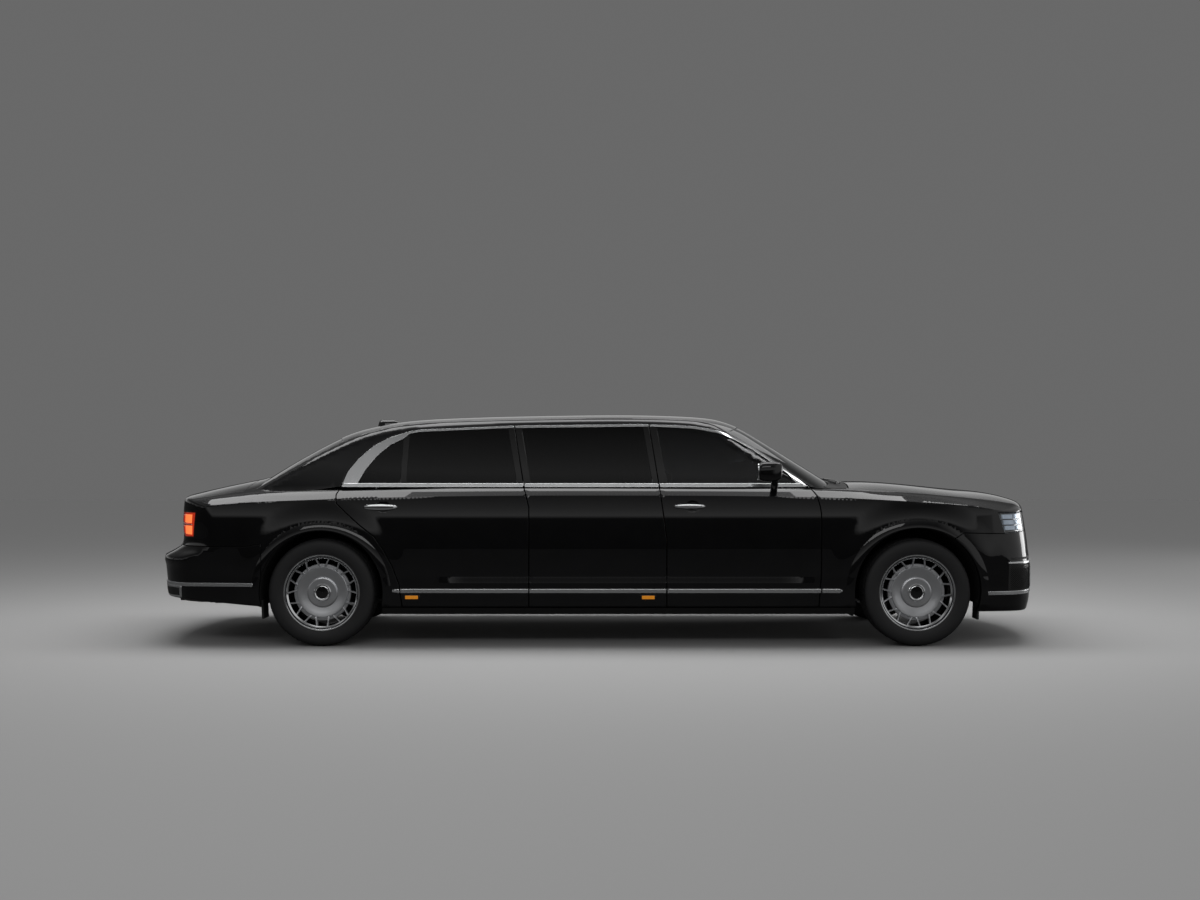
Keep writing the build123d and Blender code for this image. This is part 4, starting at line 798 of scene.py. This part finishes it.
TRIM = [
    ("front_window_bright", on_cabin, side_to_cabin(front_outer + front_inner[::-1]), SATIN, FRONT_SETS, 4, 7, 2, 25),
    ("centre_window_bright", on_cabin, side_to_cabin(centre_rim), SATIN, "body", 4, 7, 2, 25),
    ("rear_window_bright", on_cabin, side_to_cabin(rear_outer + rear_inner[::-1]), SATIN, REAR_SETS, 4, 7, 2, 25),
    ("front_belt_bright", on_glazing, belts[0], SATIN, FRONT_SETS, 14, 18, 4, 28),
    ("centre_belt_bright", on_glazing, belts[1], SATIN, "body", 14, 18, 4, 28),
    ("rear_belt_bright", on_glazing, belts[2], SATIN, REAR_SETS, 14, 18, 4, 28),
    ("wing_sill_strip", on_side, [(1610, 391), (1735, 391), (1757, 402), (1757, 411), (1740, 422), (1610, 422)],
     SATIN, "body", 6, 10, 4, 22),
    ("front_door_sill_strip", on_side, box(496, 1602, 391, 422), SATIN, FRONT_SETS, 6, 10, 4, 22),
    ("centre_sill_strip", on_side, box(-497, 488, 391, 422), SATIN, "body", 6, 10, 4, 22),
    ("rear_door_sill_strip", on_side, box(-1426, -504, 391, 422), SATIN, REAR_SETS, 6, 10, 4, 22),
    ("quarter_sill_strip", on_side, [(-1484, 398), (-1429, 391), (-1434.5, 422), (-1484, 415)], SATIN, "body",
     6, 10, 4, 22),
    ("rear_side_marker", on_side, box(-1402, -1286, 344, 378), GLOSS_BLACK, REAR_SETS, 3, 8, 3, 20),
    ("rear_marker_lens", on_side, box(-1390, -1298, 349, 373), AMBER, REAR_SETS, 6, 6, 2, 12),
    ("centre_side_marker", on_side, box(301, 416, 344, 378), GLOSS_BLACK, "body", 3, 8, 3, 20),
    ("centre_marker_lens", on_side, box(313, 404, 349, 373), AMBER, "body", 6, 6, 2, 12),
    ("front_bumper_strip", on_nose, end_band(2812, 2980, 560, 369, 398), SATIN, "body", 6, 10, 4, 22),
    ("rear_bumper_strip", on_tail, rear_strip, SATIN, "body", 6, 10, 4, 22),
    ("intake_top_bar", on_nose, end_band(2966, 3000, 420, 592, 608), SATIN, "body", 8, 12, 4, 18),
    ("bumper_slot", on_nose, end_band(2990, 3010, 420, 622, 638), PLASTIC, "body", 1, 5, 0.8, 18),
    ("intake_backing", on_nose, mesh_zone, PLASTIC, "body", 1.5, 6, 1, 30),
    ("intake_bright_frame", on_nose, front_loop([(640, 400), (640, 590), (400, 590), (430, 400)]), SATIN, "body",
     7, 11, 4, 22),
    ("headlamp_bowl", on_nose, head, GLOSS_BLACK, "body", -26, 18, 1, 30),
    ("headlamp_lens", on_nose, head, CLEAR, "body", -0.5, 4, 1.5, 30),
    ("tail_lamp_body", on_tail, tail, RED, "body", -4, 16, 2, 26),
    ("tail_lamp_divider", on_tail, box(tail_in, tail_out + 4, 871, 880), SATIN, "body", 1, 8, 2, 22),
    ("exhaust_finisher", on_tail, finisher, CHROME, "body", 7, 22, 6, 18),
    ("exhaust_mouth", on_tail, grow(finisher, -17), PLASTIC, "body", 7.6, 4, 0.6, 22),
]
lamp_out = max(u for u, _ in side_to_end([(2905, 940), (2925, 870)])) - 14
lamp_in = front_to_end([(455, 900), (460, 900)])[0][0]
LAMP_CELLS = 5
for row, (z0, z1) in enumerate(((917, 951), (876, 909), (836, 868))):
    for k in range(LAMP_CELLS):
        a, b = (lamp_in + (lamp_out - lamp_in) * (k + j) / LAMP_CELLS + gap - 9 * row for j, gap in ((0, 5), (1, -5)))
        TRIM.append((f"headlamp_cell_{row}_{k}", on_nose, box(a, b, z0, z1), LED if k > 1 else POLISHED, "body",
                     -12, 14, 5, 14))
for row, (z0, z1) in enumerate(((886, 948), (802, 866))):
    cell = [(tail_mid, z0), (tail_out, z0), (tail_out + 4, z1), (tail_mid, z1)]
    TRIM.append((f"tail_lamp_cell_{row}", on_tail, cell, AMBER_HOT, "body", 0, 8, 5, 14))
    TRIM.append((f"tail_lamp_inner_{row}", on_tail, box(tail_in, tail_mid - 12, z0 + 4, z1 - 4), RED, "body",
                 0, 8, 5, 18))
STANDS_FOR = {"headlamp_bowl": ["headlamps"], "tail_lamp_body": ["tail_lamps"]}
for name, mapping, outline, mat, bodies, level, thick, lip, step in TRIM:
    panel(name, mapping, outline, mat, bodies, level=level, thick=thick, lip=lip, step=step,
          replaced=STANDS_FOR.get(name, ()))

# Grille and plates
panel("grille_surround", on_nose, front_loop([(-319, 561), (319, 561), (334, 951), (-334, 951)]), CHROME,
      holes=[front_loop([(-288, 592), (288, 592), (302, 920), (-302, 920)])], level=-0.3, thick=44, lip=9, step=24,
      mirrored=False, replaced=["grille"])
panel("grille_backing", on_nose, front_loop([(-295, 585), (295, 585), (309, 927), (-309, 927)]), PLASTIC, level=-46,
      thick=6, lip=1, step=60, mirrored=False)
for name, mapping, end, low, levels, thicks, lips in (
    ("front_plate", on_nose, 1, 430, (0.9, 1.8), (4, 2), (0.6, 0.6)),
    ("rear_plate", on_tail, -1, 471, (2, 4), (6, 3), (1.5, 1)),
):
    plate = front_loop(box(-260, 260, low, low + 110), end)
    panel(f"{name}_base", mapping, grow(plate, 6), PLASTIC, level=levels[0], thick=thicks[0], lip=lips[0], step=40,
          mirrored=False)
    panel(name, mapping, plate, PLATE, level=levels[1], thick=thicks[1], lip=lips[1], step=40, mirrored=False)


def tube(verts, faces, rings):
    """Adds the skin over equal rings to a mesh being built, with both ends closed."""
    base, n = len(verts), len(rings[0])
    verts += [tuple(p) for ring in rings for p in ring]
    for k in range(len(rings) - 1):
        o = base + k * n
        faces += [(o + i, o + (i + 1) % n, o + n + (i + 1) % n, o + n + i) for i in range(n)]
    faces += [tuple(range(base + n - 1, base - 1, -1)), tuple(range(len(verts) - n, len(verts)))]
    return verts, faces


def loft(*rings):
    return tube([], [], rings)


MESH_PITCH, MESH_HALF = 15, 1.3
u0, u1 = min(u for u, v in mesh_zone), max(u for u, v in mesh_zone)
for k, lean in enumerate((1, -1)):
    verts, faces = [], []
    for start in np.arange(u0 - 190, u1 + 190, MESH_PITCH):
        line = [(start + lean * t, 404 + t) for t in np.linspace(0, 182, 14)]
        line = [p for p in line if u0 + 4 < p[0] < u1 - 4]
        if len(line) > 1:
            u, v = np.array(line).T
            around_wire = ((-MESH_HALF, 3.0), (MESH_HALF, 3.0), (MESH_HALF, 1.4), (-MESH_HALF, 1.4))
            tube(verts, faces, list(zip(*[on_nose(u + du, v, level + k) for du, level in around_wire])))
    on_both_sides("{}_intake_mesh_%d" % k, (verts, faces), GLOSS_BLACK, smooth_angle=None, slot="plastic")

verts, faces = [], []
for y in range(-280, 281, 28):
    rings = []
    for z in np.linspace(586, 926, 12):
        yy = y * (1 + 0.045 * (z - 586) / 340)
        x = solve(body_field, np.array([[END_X, yy, z]]), np.array([[1.0, 0, 0]]), -9, 20, 1000)[0, 0]
        rings.append([(x + dx, yy + dy, z) for dx, dy in
                      ((0, -1.6), (0, 1.6), (-2.2, 4), (-30, 4.6), (-30, -4.6), (-2.2, -4))])
    tube(verts, faces, rings)
place("grille_bars", verts, faces, CHROME, "body", smooth_angle=30)


# Wheels
def lathe(profile, segments=128, shift=None):
    """Rings about the wheel's axis from (radius, y) points; shift may move a ring's point by its turn."""
    verts, faces = [], []
    n = len(profile)
    for k in range(segments):
        t = 2 * math.pi * k / segments
        for i, (r, y) in enumerate(profile):
            if shift:
                r, y = shift(k, i, r, y)
            verts.append((r * math.cos(t), y, r * math.sin(t)))
    for k in range(segments):
        o, q = k * n, ((k + 1) % segments) * n
        faces += [(o + i, o + i + 1, q + i + 1, q + i) for i in range(n - 1)]
    return verts, faces


tread = [(258, -110), (262, -118), (277.6, -124.4), (283, -128), (300, -134), (316, -136.8), (330, -137.4),
         (345, -136.6), (358, -134.4), (369, -130), (377, -124), (382, -116.5), (385.2, -108), (386.6, -98),
         (386.9, -89), (380, -88), (380, -80), (387.2, -79), (387.8, -60), (388, -42), (380, -41), (380, -31),
         (388, -30), (388, -10), (388, -6), (380, -5)]
tread += [(r, -y) for r, y in reversed(tread)]


def sipes(k, i, r, y):
    """Cross cuts in the tread blocks and a fine ribbing round the sidewall."""
    r_flat, y_flat = tread[i]
    if r_flat > 384 and abs(y_flat) > 80 and k % 5 == 0:
        return r - 5.5, y
    if r > 384 and abs(y) < 62 and k % 5 == (2 if y > 0 else 4):
        return r - 3.0, y
    if 318 < r < 334:
        return r, y + (0.7 if k % 2 else -0.2) * (1 if y > 0 else -1)
    return r, y


def blade(inner_angle, outer_angle, phase):
    """The rings of one slim tapering bar of the wheel, bevelled along its face."""
    a, b = math.radians(phase + inner_angle), math.radians(phase + outer_angle)
    start = np.array([179 * math.cos(a), 179 * math.sin(a)])
    end = np.array([257 * math.cos(b), 257 * math.sin(b)])
    way = (end - start) / np.linalg.norm(end - start)
    across = np.array([-way[1], way[0]])
    rings = []
    for t, w, top in ((0, 7.2, 88.5), (0.12, 6.6, 92.5), (0.5, 6.0, 93.0), (0.88, 6.3, 96.5), (1, 7.0, 99.0)):
        p = start + (end - start) * t
        outline = ((-w, 64), (-w, top - 3), (-w + 2.2, top), (w - 2.2, top), (w, top - 3), (w, 64))
        rings.append([(*(p + across * c)[:1], y, (p + across * c)[1]) for c, y in outline])
    return rings


WHEEL_PARTS = [  # name, part, material, smoothing angle
    ("tyre_rubber", lathe(tread, 300, sipes), RUBBER, 28),
    ("wheel_barrel", lathe([
        (271, 113), (277, 116), (278, 120), (276.5, 123.4), (272, 123.9), (266, 122), (260, 112), (255, 104),
        (251, 92), (249, 60), (247, 10), (247, -60), (252, -110), (262, -118), (277, -121), (277, -124),
        (258, -123.5), (244, -100), (241, 0), (246, 96), (258, 108), (271, 113)], 144), POLISHED, 35),
    ("wheel_dish", lathe([
        (0.5, 62), (206, 62), (208, 66), (207, 74), (204, 78), (186, 79), (184, 81), (183, 90), (180, 92.4),
        (174, 92.6), (150, 87), (120, 80.5), (111, 79.5), (109.5, 82), (108, 90), (105, 92.4), (96, 93), (70, 92),
        (64, 92.2), (61, 95)], 144), ALLOY, 35),
    ("wheel_blades", None, ALLOY, 25),
    ("wheel_cap", lathe([(61, 92), (60.5, 97), (57, 99), (53, 98.4), (50, 95.5), (47, 94.8), (44, 96.2), (30, 98.2),
                         (15, 99.2), (0.5, 99.5)], 96), POLISHED, 35),
    ("wheel_hub", lathe([(38.5, 61), (78, 61), (78, -30), (38.5, -30)], 64), DARK_METAL, 35),
    ("brake_rotor", lathe([(72, -13), (188, -13), (190, -11), (190, -4), (180, -3), (180, 3), (190, 4), (190, 11),
                           (188, 13), (72, 13)], 96), DISC_METAL, 35),
    ("cap_centre", lathe([(44, 97), (43, 98.6), (20, 99.9), (0.5, 100.2)], 64), GLOSS_BLACK, 35),
]
WHEEL_Y, WHEEL_Z = 843.0, 388.0
for end, x, phase in (("front", 2302.0, 105.0), ("rear", -1998.0, 90.0)):
    blades = ([], [])
    for k in range(9):
        for s in (1, -1):
            tube(*blades, blade(s * 4.8, s * 11.7, phase + 40 * k))
    for name, part, mat, angle in WHEEL_PARTS:
        verts, faces = part or blades
        replaced = {"tyre_rubber": [end + "_{}_tyre"], "wheel_barrel": [end + "_{}_wheel"]}.get(name, ())
        on_both_sides(f"{end}_{{}}_{name}", (np.array(verts) + (x, WHEEL_Y, WHEEL_Z), faces), mat,
                      (f"{end}_left_wheel_set", f"{end}_right_wheel_set"), outward=False, smooth_angle=angle,
                      replaced=replaced)


# Handles, mirrors, roof pod, wipers and flaps
def squircle(angle, power_x, power_y):
    c, s = math.cos(angle), math.sin(angle)
    return math.copysign(abs(c) ** power_x, c), math.copysign(abs(s) ** power_y, s)


def turns(count):
    return [2 * math.pi * j / count for j in range(count)]


HANDLES = (("front", 542, 772, 998, 1028, FRONT_SETS), ("rear", -1690, -1444, 987, 1028, REAR_SETS))
for end, x0, x1, z0, z1, sets in HANDLES:
    middle = (z0 + z1) / 2
    base = at(SECTIONS, 1, (x0 + x1) / 2) - float(side_drop(np.array([middle]))[0])
    rings = []
    for k in range(25):
        t = k / 24
        ends = not 0 < t < 1
        swell = 0.12 if ends else math.sin(math.pi * t) ** 0.35
        out = base + 6 if ends else base + 7 + 20 * min(1, 3.2 * math.sin(math.pi * t))
        half, depth = (z1 - z0) / 2 * max(0.25, swell), 6.5 * max(0.4, swell)
        ring = [squircle(a, 0.7, 0.8) for a in turns(16)]
        rings.append([(x0 + (x1 - x0) * t, out + depth * c, middle + half * s) for c, s in ring])
    on_both_sides("{}_%s_handle_bar" % end, loft(*rings), CHROME, sets, outward=False, smooth_angle=50,
                  replaced=["{}_%s_door_handle" % end])

MIRROR_LOW, MIRROR_HIGH, MIRROR_SOFT = (1132, 1032, 1192), (1318, 1163, 1334), 0.55
middle = [(a + b) / 2 for a, b in zip(MIRROR_LOW, MIRROR_HIGH)]
size = [(b - a) / 2 for a, b in zip(MIRROR_LOW, MIRROR_HIGH)]
rings = []
for i in range(15):
    t = -math.pi / 2 + math.pi * i / 14
    r, lift = abs(math.cos(t)) ** MIRROR_SOFT, squircle(t, 1, MIRROR_SOFT)[1]
    ring = []
    for c, s in (squircle(a, MIRROR_SOFT, MIRROR_SOFT) for a in turns(28)):
        x, y, z = middle[0] + size[0] * r * c, middle[1] + size[1] * r * s, middle[2] + size[2] * lift
        ahead = max(0, x - middle[0]) / 93
        ring.append((x - 0.1 * (1334 - z) * ahead, y - 18 * ahead * max(0, (y - 1097) / 66), z))
    rings.append(ring)
stalk = [[(1270 + 26 * math.cos(a) - 8 * t, 925 + 145 * t, 1128 + 88 * t**1.4 + 15 * math.sin(a))
          for a in turns(16)] for t in np.linspace(0, 1, 9)]
mirror_glass = [[(1133 - d, 1097 + (1 - g) * 56 * c, 1263 + (1 - g) * 60 * s)
                 for c, s in (squircle(a, 0.5, 0.5) for a in turns(32))] for d, g in ((-8, 0), (-1, 0), (0.5, 0.03))]
for name, shape, mat, replaced in (("mirror_shell", rings, PAINT, ["{}_mirror"]),
                                   ("mirror_stalk", stalk, GLOSS_BLACK, ()),
                                   ("mirror_glass", mirror_glass, POLISHED, ())):
    on_both_sides("{}_" + name, loft(*shape), mat, FRONT_SETS, outward=False, replaced=replaced)

POD_REAR, POD_LENGTH, POD_TOP, POD_HALF = -1738, 176, 1657, 40
rings = []
for t in np.linspace(0, 1, 15):
    x = POD_REAR + POD_LENGTH * t
    roof = float(on_cabin(np.array([x]), np.array([0.0]), 0)[0, 2])
    swell = min(1, 1.25 * math.sin(math.pi * (0.12 + t * 0.8)) ** 0.8)
    rise = max(1.0, (POD_TOP - roof) * swell) if 0 < t < 1 else 1
    wide = POD_HALF * max(0.12, math.sin(math.pi * (0.05 + 0.9 * t)) ** 0.4)
    rings.append([(x, wide * math.cos(a), roof - 3 + (rise + 3) * math.sin(a) ** 0.8)
                  for a in np.linspace(0, math.pi, 13)])
verts, faces = loft(*rings)
place("roof_pod", verts, [f[::-1] for f in faces], GLOSS_BLACK, "body", smooth_angle=50, slot="plastic",
      replaced=["antenna_pod"])


def bar(name, points, width, height, mat):
    """A rounded bar through points."""
    rings = []
    points = [np.array(p, float) for p in points]
    for i, p in enumerate(points):
        way = points[min(i + 1, len(points) - 1)] - points[max(i - 1, 0)]
        way /= np.linalg.norm(way)
        across = np.cross(way, (0, 0, 1.0))
        across /= np.linalg.norm(across) + 1e-9
        up = np.cross(across, way)
        rings.append([p + across * width / 2 * math.cos(a) + up * height / 2 * math.sin(a) for a in turns(12)])
    place(name, *loft(*rings), mat, "body", smooth_angle=50)


def lie(x, y, up):
    """A point above the scuttle or the screen."""
    x_at, y_at = np.array([float(x)]), np.array([float(y)])
    on_screen = on_cabin(x_at, ROOF_R * np.arctan2(y_at, 200.0), 0)[0, 2]
    return x, y, max(float(on_screen), float(deck_z(x_at, y_at)[0])) + up


for k, ((px, py), (bx, by)) in enumerate((((1806, -560), (1780, 40)), ((1812, 120), (1780, 640)))):
    bar(f"wiper_arm_{k}", [lie(px + (bx - px) * t, py + (by - py) * t, 16 + 10 * math.sin(math.pi * t))
                           for t in np.linspace(0, 1, 9)], 14, 9, GLOSS_BLACK)
    bar(f"wiper_blade_{k}", [lie(bx + 12 - 16 * t, by - 500 + 520 * t, 11) for t in np.linspace(0, 1, 13)], 8, 16,
        PLASTIC)
FLAPS = (  # rear x, front x, foot z, inner y, outer y, lean
    (-2443, -2428, 196, 770, 930, 0.06), (2752, 2767, 188, 770, 905, -0.05), (1838, 1852, 216, 790, 925, -0.05),
)
for k, (x0, x1, z0, y0, y1, lean) in enumerate(FLAPS):
    ring = ((x0, y0), (x1, y0), (x1, (y0 + y1) / 2), (x1, y1), (x0, y1), (x0, (y0 + y1) / 2))
    flap = loft(*[[(x + lean * (330 - z), y, z) for x, y in ring] for z in np.linspace(z0, 330, 6)])
    on_both_sides("{}_mud_flap_%d" % k, flap, PLASTIC)


# Seats
PAD_CELLS, PAD_SOFT = (20, 20, 8), 4.5


def cushion(name, centre, size, lean, channels=0, replaced=(), facing=1):
    """A crowned pad: a fine block pulled to a soft form, with sewn channels across its face."""
    index, verts, faces = {}, [], []

    def vert(*cell):
        if cell not in index:
            a, b, c = (2 * i / n - 1 for i, n in zip(cell, PAD_CELLS))
            length = (abs(a) ** PAD_SOFT + abs(b) ** PAD_SOFT + abs(c) ** PAD_SOFT) ** (1 / PAD_SOFT) or 1
            big = max(abs(a), abs(b), abs(c)) or 1
            a, b, c = (v * big / length for v in (a, b, c))
            z = c * (1 + 0.16 * (1 - a * a) * (1 - b * b))
            pull = 1 - 0.035 * (1 - c * c) * (a * a + b * b)
            if channels and c > 0.3:
                z -= 0.11 * max(0, math.cos(math.pi * channels * (b + 1))) ** 8 * (1 - a ** 6)
                z -= 0.09 * max(0, 1 - abs(abs(a) - 0.78) / 0.05) * (1 - b ** 6)
            x, y, z = (v * s / 2 for v, s in zip((a * pull, b * pull, z), size))
            ca, sa = math.cos(lean), math.sin(lean)
            index[cell] = len(verts)
            verts.append((centre[0] + facing * (x * ca + z * sa), centre[1] + y, centre[2] - x * sa + z * ca))
        return index[cell]

    nx, ny, nz = PAD_CELLS
    for count_a, count_b, corner in (
        (nx, ny, lambda p, q: (p, q, nz)), (ny, nx, lambda p, q: (q, p, 0)), (nx, nz, lambda p, q: (p, 0, q)),
        (nz, nx, lambda p, q: (q, ny, p)), (ny, nz, lambda p, q: (nx, p, q)), (nz, ny, lambda p, q: (0, q, p)),
    ):
        for p in range(count_a):
            for q in range(count_b):
                faces.append([vert(*corner(p + da, q + db)) for da, db in ((0, 0), (1, 0), (1, 1), (0, 1))])
    piece = place(name, verts, [f[::facing] for f in faces], LEATHER, "body", smooth_angle=80, replaced=replaced)
    sub = piece.modifiers.new("smooth", "SUBSURF")
    sub.levels = sub.render_levels = 1


SEAT_FLOOR = 320.5
for label, x, y, width, lean, facing, replaced in (
    ("driver_seat", 820, 390, 520, 60, 1, ["front_seats"]), ("front_passenger_seat", 820, -390, 520, 60, 1, ()),
    ("rear_left_seat", -1425, 271, 418, 80, 1, ["rear_seats"]), ("rear_right_seat", -1425, -271, 418, 80, 1, ()),
    ("middle_left_seat", -30, 390, 480, 0, -1, ()), ("middle_right_seat", -30, -390, 480, 0, -1, ()),
):
    upright = math.pi / 2 - math.atan2(lean + 25, 520) * 0.75
    cushion(f"{label}_cushion", (x + facing * 5, y, SEAT_FLOOR + 155), (540, width - 6, 118), 0.03, 4,
            replaced, facing)
    cushion(f"{label}_back", (x - facing * (225 + lean / 2), y, SEAT_FLOOR + 490), (590, width - 6, 130), -upright,
            4, (), facing)
    cushion(f"{label}_head_rest", (x - facing * (255 + lean), y, SEAT_FLOOR + 862), (140, width - 225, 92),
            -(math.pi / 2 - 0.12), 0, (), facing)
    half = width / 2 - 60
    ring = ((-210, -half), (230, -half), (230, half), (-210, half))
    verts, faces = loft(*[[(x + facing * dx * (0.96 if z > 60 else 1), y + dy, SEAT_FLOOR + z) for dx, dy in ring]
                          for z in (0.5, 30, 60, 96)])
    place(f"{label}_base", verts, [f[::facing] for f in faces], PLASTIC, "body", smooth_angle=30)

# Finishes on the plain pieces
for mat, names in (
    (UNDER, ["body_frame"]), (CARPET, ["floor_pan"]), (LINER, ["arch_liners"]), (LEATHER, ["partition"]),
    (DARK_LEATHER, ["dashboard", "steering_wheel"]), (STEEL, ["exhaust_system"]),
    (DARK_METAL, ["engine_block", "front_suspension", "rear_suspension", "front_left_knuckle",
                  "front_right_knuckle"]),
):
    for name in names:
        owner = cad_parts[name]
        if not owner.data.materials:
            owner.data.materials.append(mat)
        for slot in owner.material_slots:
            slot.material = mat

# Studio: a floor pale to the camera but darker to every other ray, as painted shade; a world dark below the horizon,
# softly lit above it
floor_mesh = bpy.data.meshes.new("studio_floor")
floor_mesh.from_pydata([(x, y, -0.0005) for x, y in box(-26, 26, -7.4, 30)], [], [(0, 1, 2, 3)])
floor = bpy.data.objects.new("studio_floor", floor_mesh)
bpy.context.scene.collection.objects.link(floor)
floor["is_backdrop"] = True
ground = bpy.data.materials.new("studio_floor")
ground.use_nodes = True
tree, links = ground.node_tree, ground.node_tree.links
# Painted shade: the camera sees the floor at 0.5, but reflections and bounced light see it at 0.11, as if the floor
# round the car lay in shadow
floor_painted_shade = node(tree, "Mix")
floor_painted_shade.data_type = "RGBA"
floor_painted_shade.inputs["A"].default_value = (0.11, 0.11, 0.11, 1)
floor_painted_shade.inputs["B"].default_value = (0.5, 0.5, 0.5, 1)
links.new(node(tree, "LightPath").outputs["Is Camera Ray"], floor_painted_shade.inputs["Factor"])
shader = tree.nodes["Principled BSDF"]
links.new(floor_painted_shade.outputs["Result"], shader.inputs["Base Color"])
shader.inputs["Roughness"].default_value = 0.9
shader.inputs["Specular IOR Level"].default_value = 0.0
floor_mesh.materials.append(ground)

world = bpy.data.worlds.new("studio")
bpy.context.scene.world = world
world.use_nodes = True
tree, links = world.node_tree, world.node_tree.links
tree.nodes.clear()
split = node(tree, "SeparateXYZ")
links.new(node(tree, "TexCoord").outputs["Generated"], split.inputs["Vector"])
span = node(tree, "MapRange", From_Min=-1)
links.new(split.outputs["Z"], span.inputs["Value"])
SKY = ((-90, 0.02), (3.5, 0.02), (5.5, 0.5), (10, 0.3), (19, 0.06), (33, 0.12), (42, 0.3), (58, 0.08), (70, 0.25),
       (82, 0.9), (90, 0.95))  # degrees above the horizon, brightness
ramp = ramp_node(tree, [(0.5 + 0.5 * math.sin(math.radians(angle)), (value,) * 3) for angle, value in SKY])
links.new(span.outputs["Result"], ramp.inputs["Fac"])
ahead = node(tree, "MapRange", From_Min=0.36, From_Max=0.6, To_Max=0.45)
links.new(split.outputs["X"], ahead.inputs["Value"])
low_sky = node(tree, "MapRange", From_Min=-0.16, From_Max=-0.04)
links.new(split.outputs["Z"], low_sky.inputs["Value"])
wash = node(tree, "Math")
wash.operation = "MULTIPLY"
links.new(ahead.outputs["Result"], wash.inputs[0])
links.new(low_sky.outputs["Result"], wash.inputs[1])
whole = node(tree, "Mix")
whole.data_type, whole.blend_type = "RGBA", "LIGHTEN"
whole.inputs["Factor"].default_value = 1.0
links.new(ramp.outputs["Color"], whole.inputs["A"])
links.new(wash.outputs["Value"], whole.inputs["B"])
sky, wall = node(tree, "Background"), node(tree, "Background", Color=(0.14, 0.14, 0.14, 1))
links.new(whole.outputs["Result"], sky.inputs["Color"])
pick = node(tree, "MixShader")
links.new(node(tree, "LightPath").outputs["Is Camera Ray"], pick.inputs["Fac"])
links.new(sky.outputs["Background"], pick.inputs[1])
links.new(wall.outputs["Background"], pick.inputs[2])
links.new(pick.outputs["Shader"], node(tree, "OutputWorld").inputs["Surface"])

for name, where, size, power, tilt in (
    ("ceiling_softbox", (0, 0.3, 5.2), (9.5, 2.6), 260, (0, 0, 0)),
    ("front_softbox", (-1.0, -9.0, 4.8), (9, 1.6), 90, (62, 0, 0)),
    ("rear_softbox", (0, 8.5, 5.0), (9, 1.6), 25, (-60, 0, 0)),
    ("nose_softbox", (12.4, 4.6, 1.7), (4.2, 3.0), 150, (90, 0, 118)),
):
    lamp = bpy.data.lights.new(name, "AREA")
    lamp.shape, lamp.size, lamp.size_y, lamp.energy = "RECTANGLE", *size, power
    lamp_object = bpy.data.objects.new(name, lamp)
    lamp_object.location, lamp_object.rotation_euler = where, [math.radians(t) for t in tilt]
    bpy.context.scene.collection.objects.link(lamp_object)

lens = bpy.data.cameras.new("camera")
lens.lens, lens.sensor_width, lens.clip_end = 43.8, 36.0, 100
camera = bpy.data.objects.new("camera", lens)
camera.location, camera.rotation_euler = (0.0115, -11.5, 1.418), (math.pi / 2, 0, 0)
bpy.context.scene.collection.objects.link(camera)
bpy.context.scene.camera = camera
bpy.context.scene.view_settings.view_transform = "Standard"

low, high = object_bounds()
{"cad": [list(cad_low), list(cad_high)], "visual": [list(low), list(high)]}
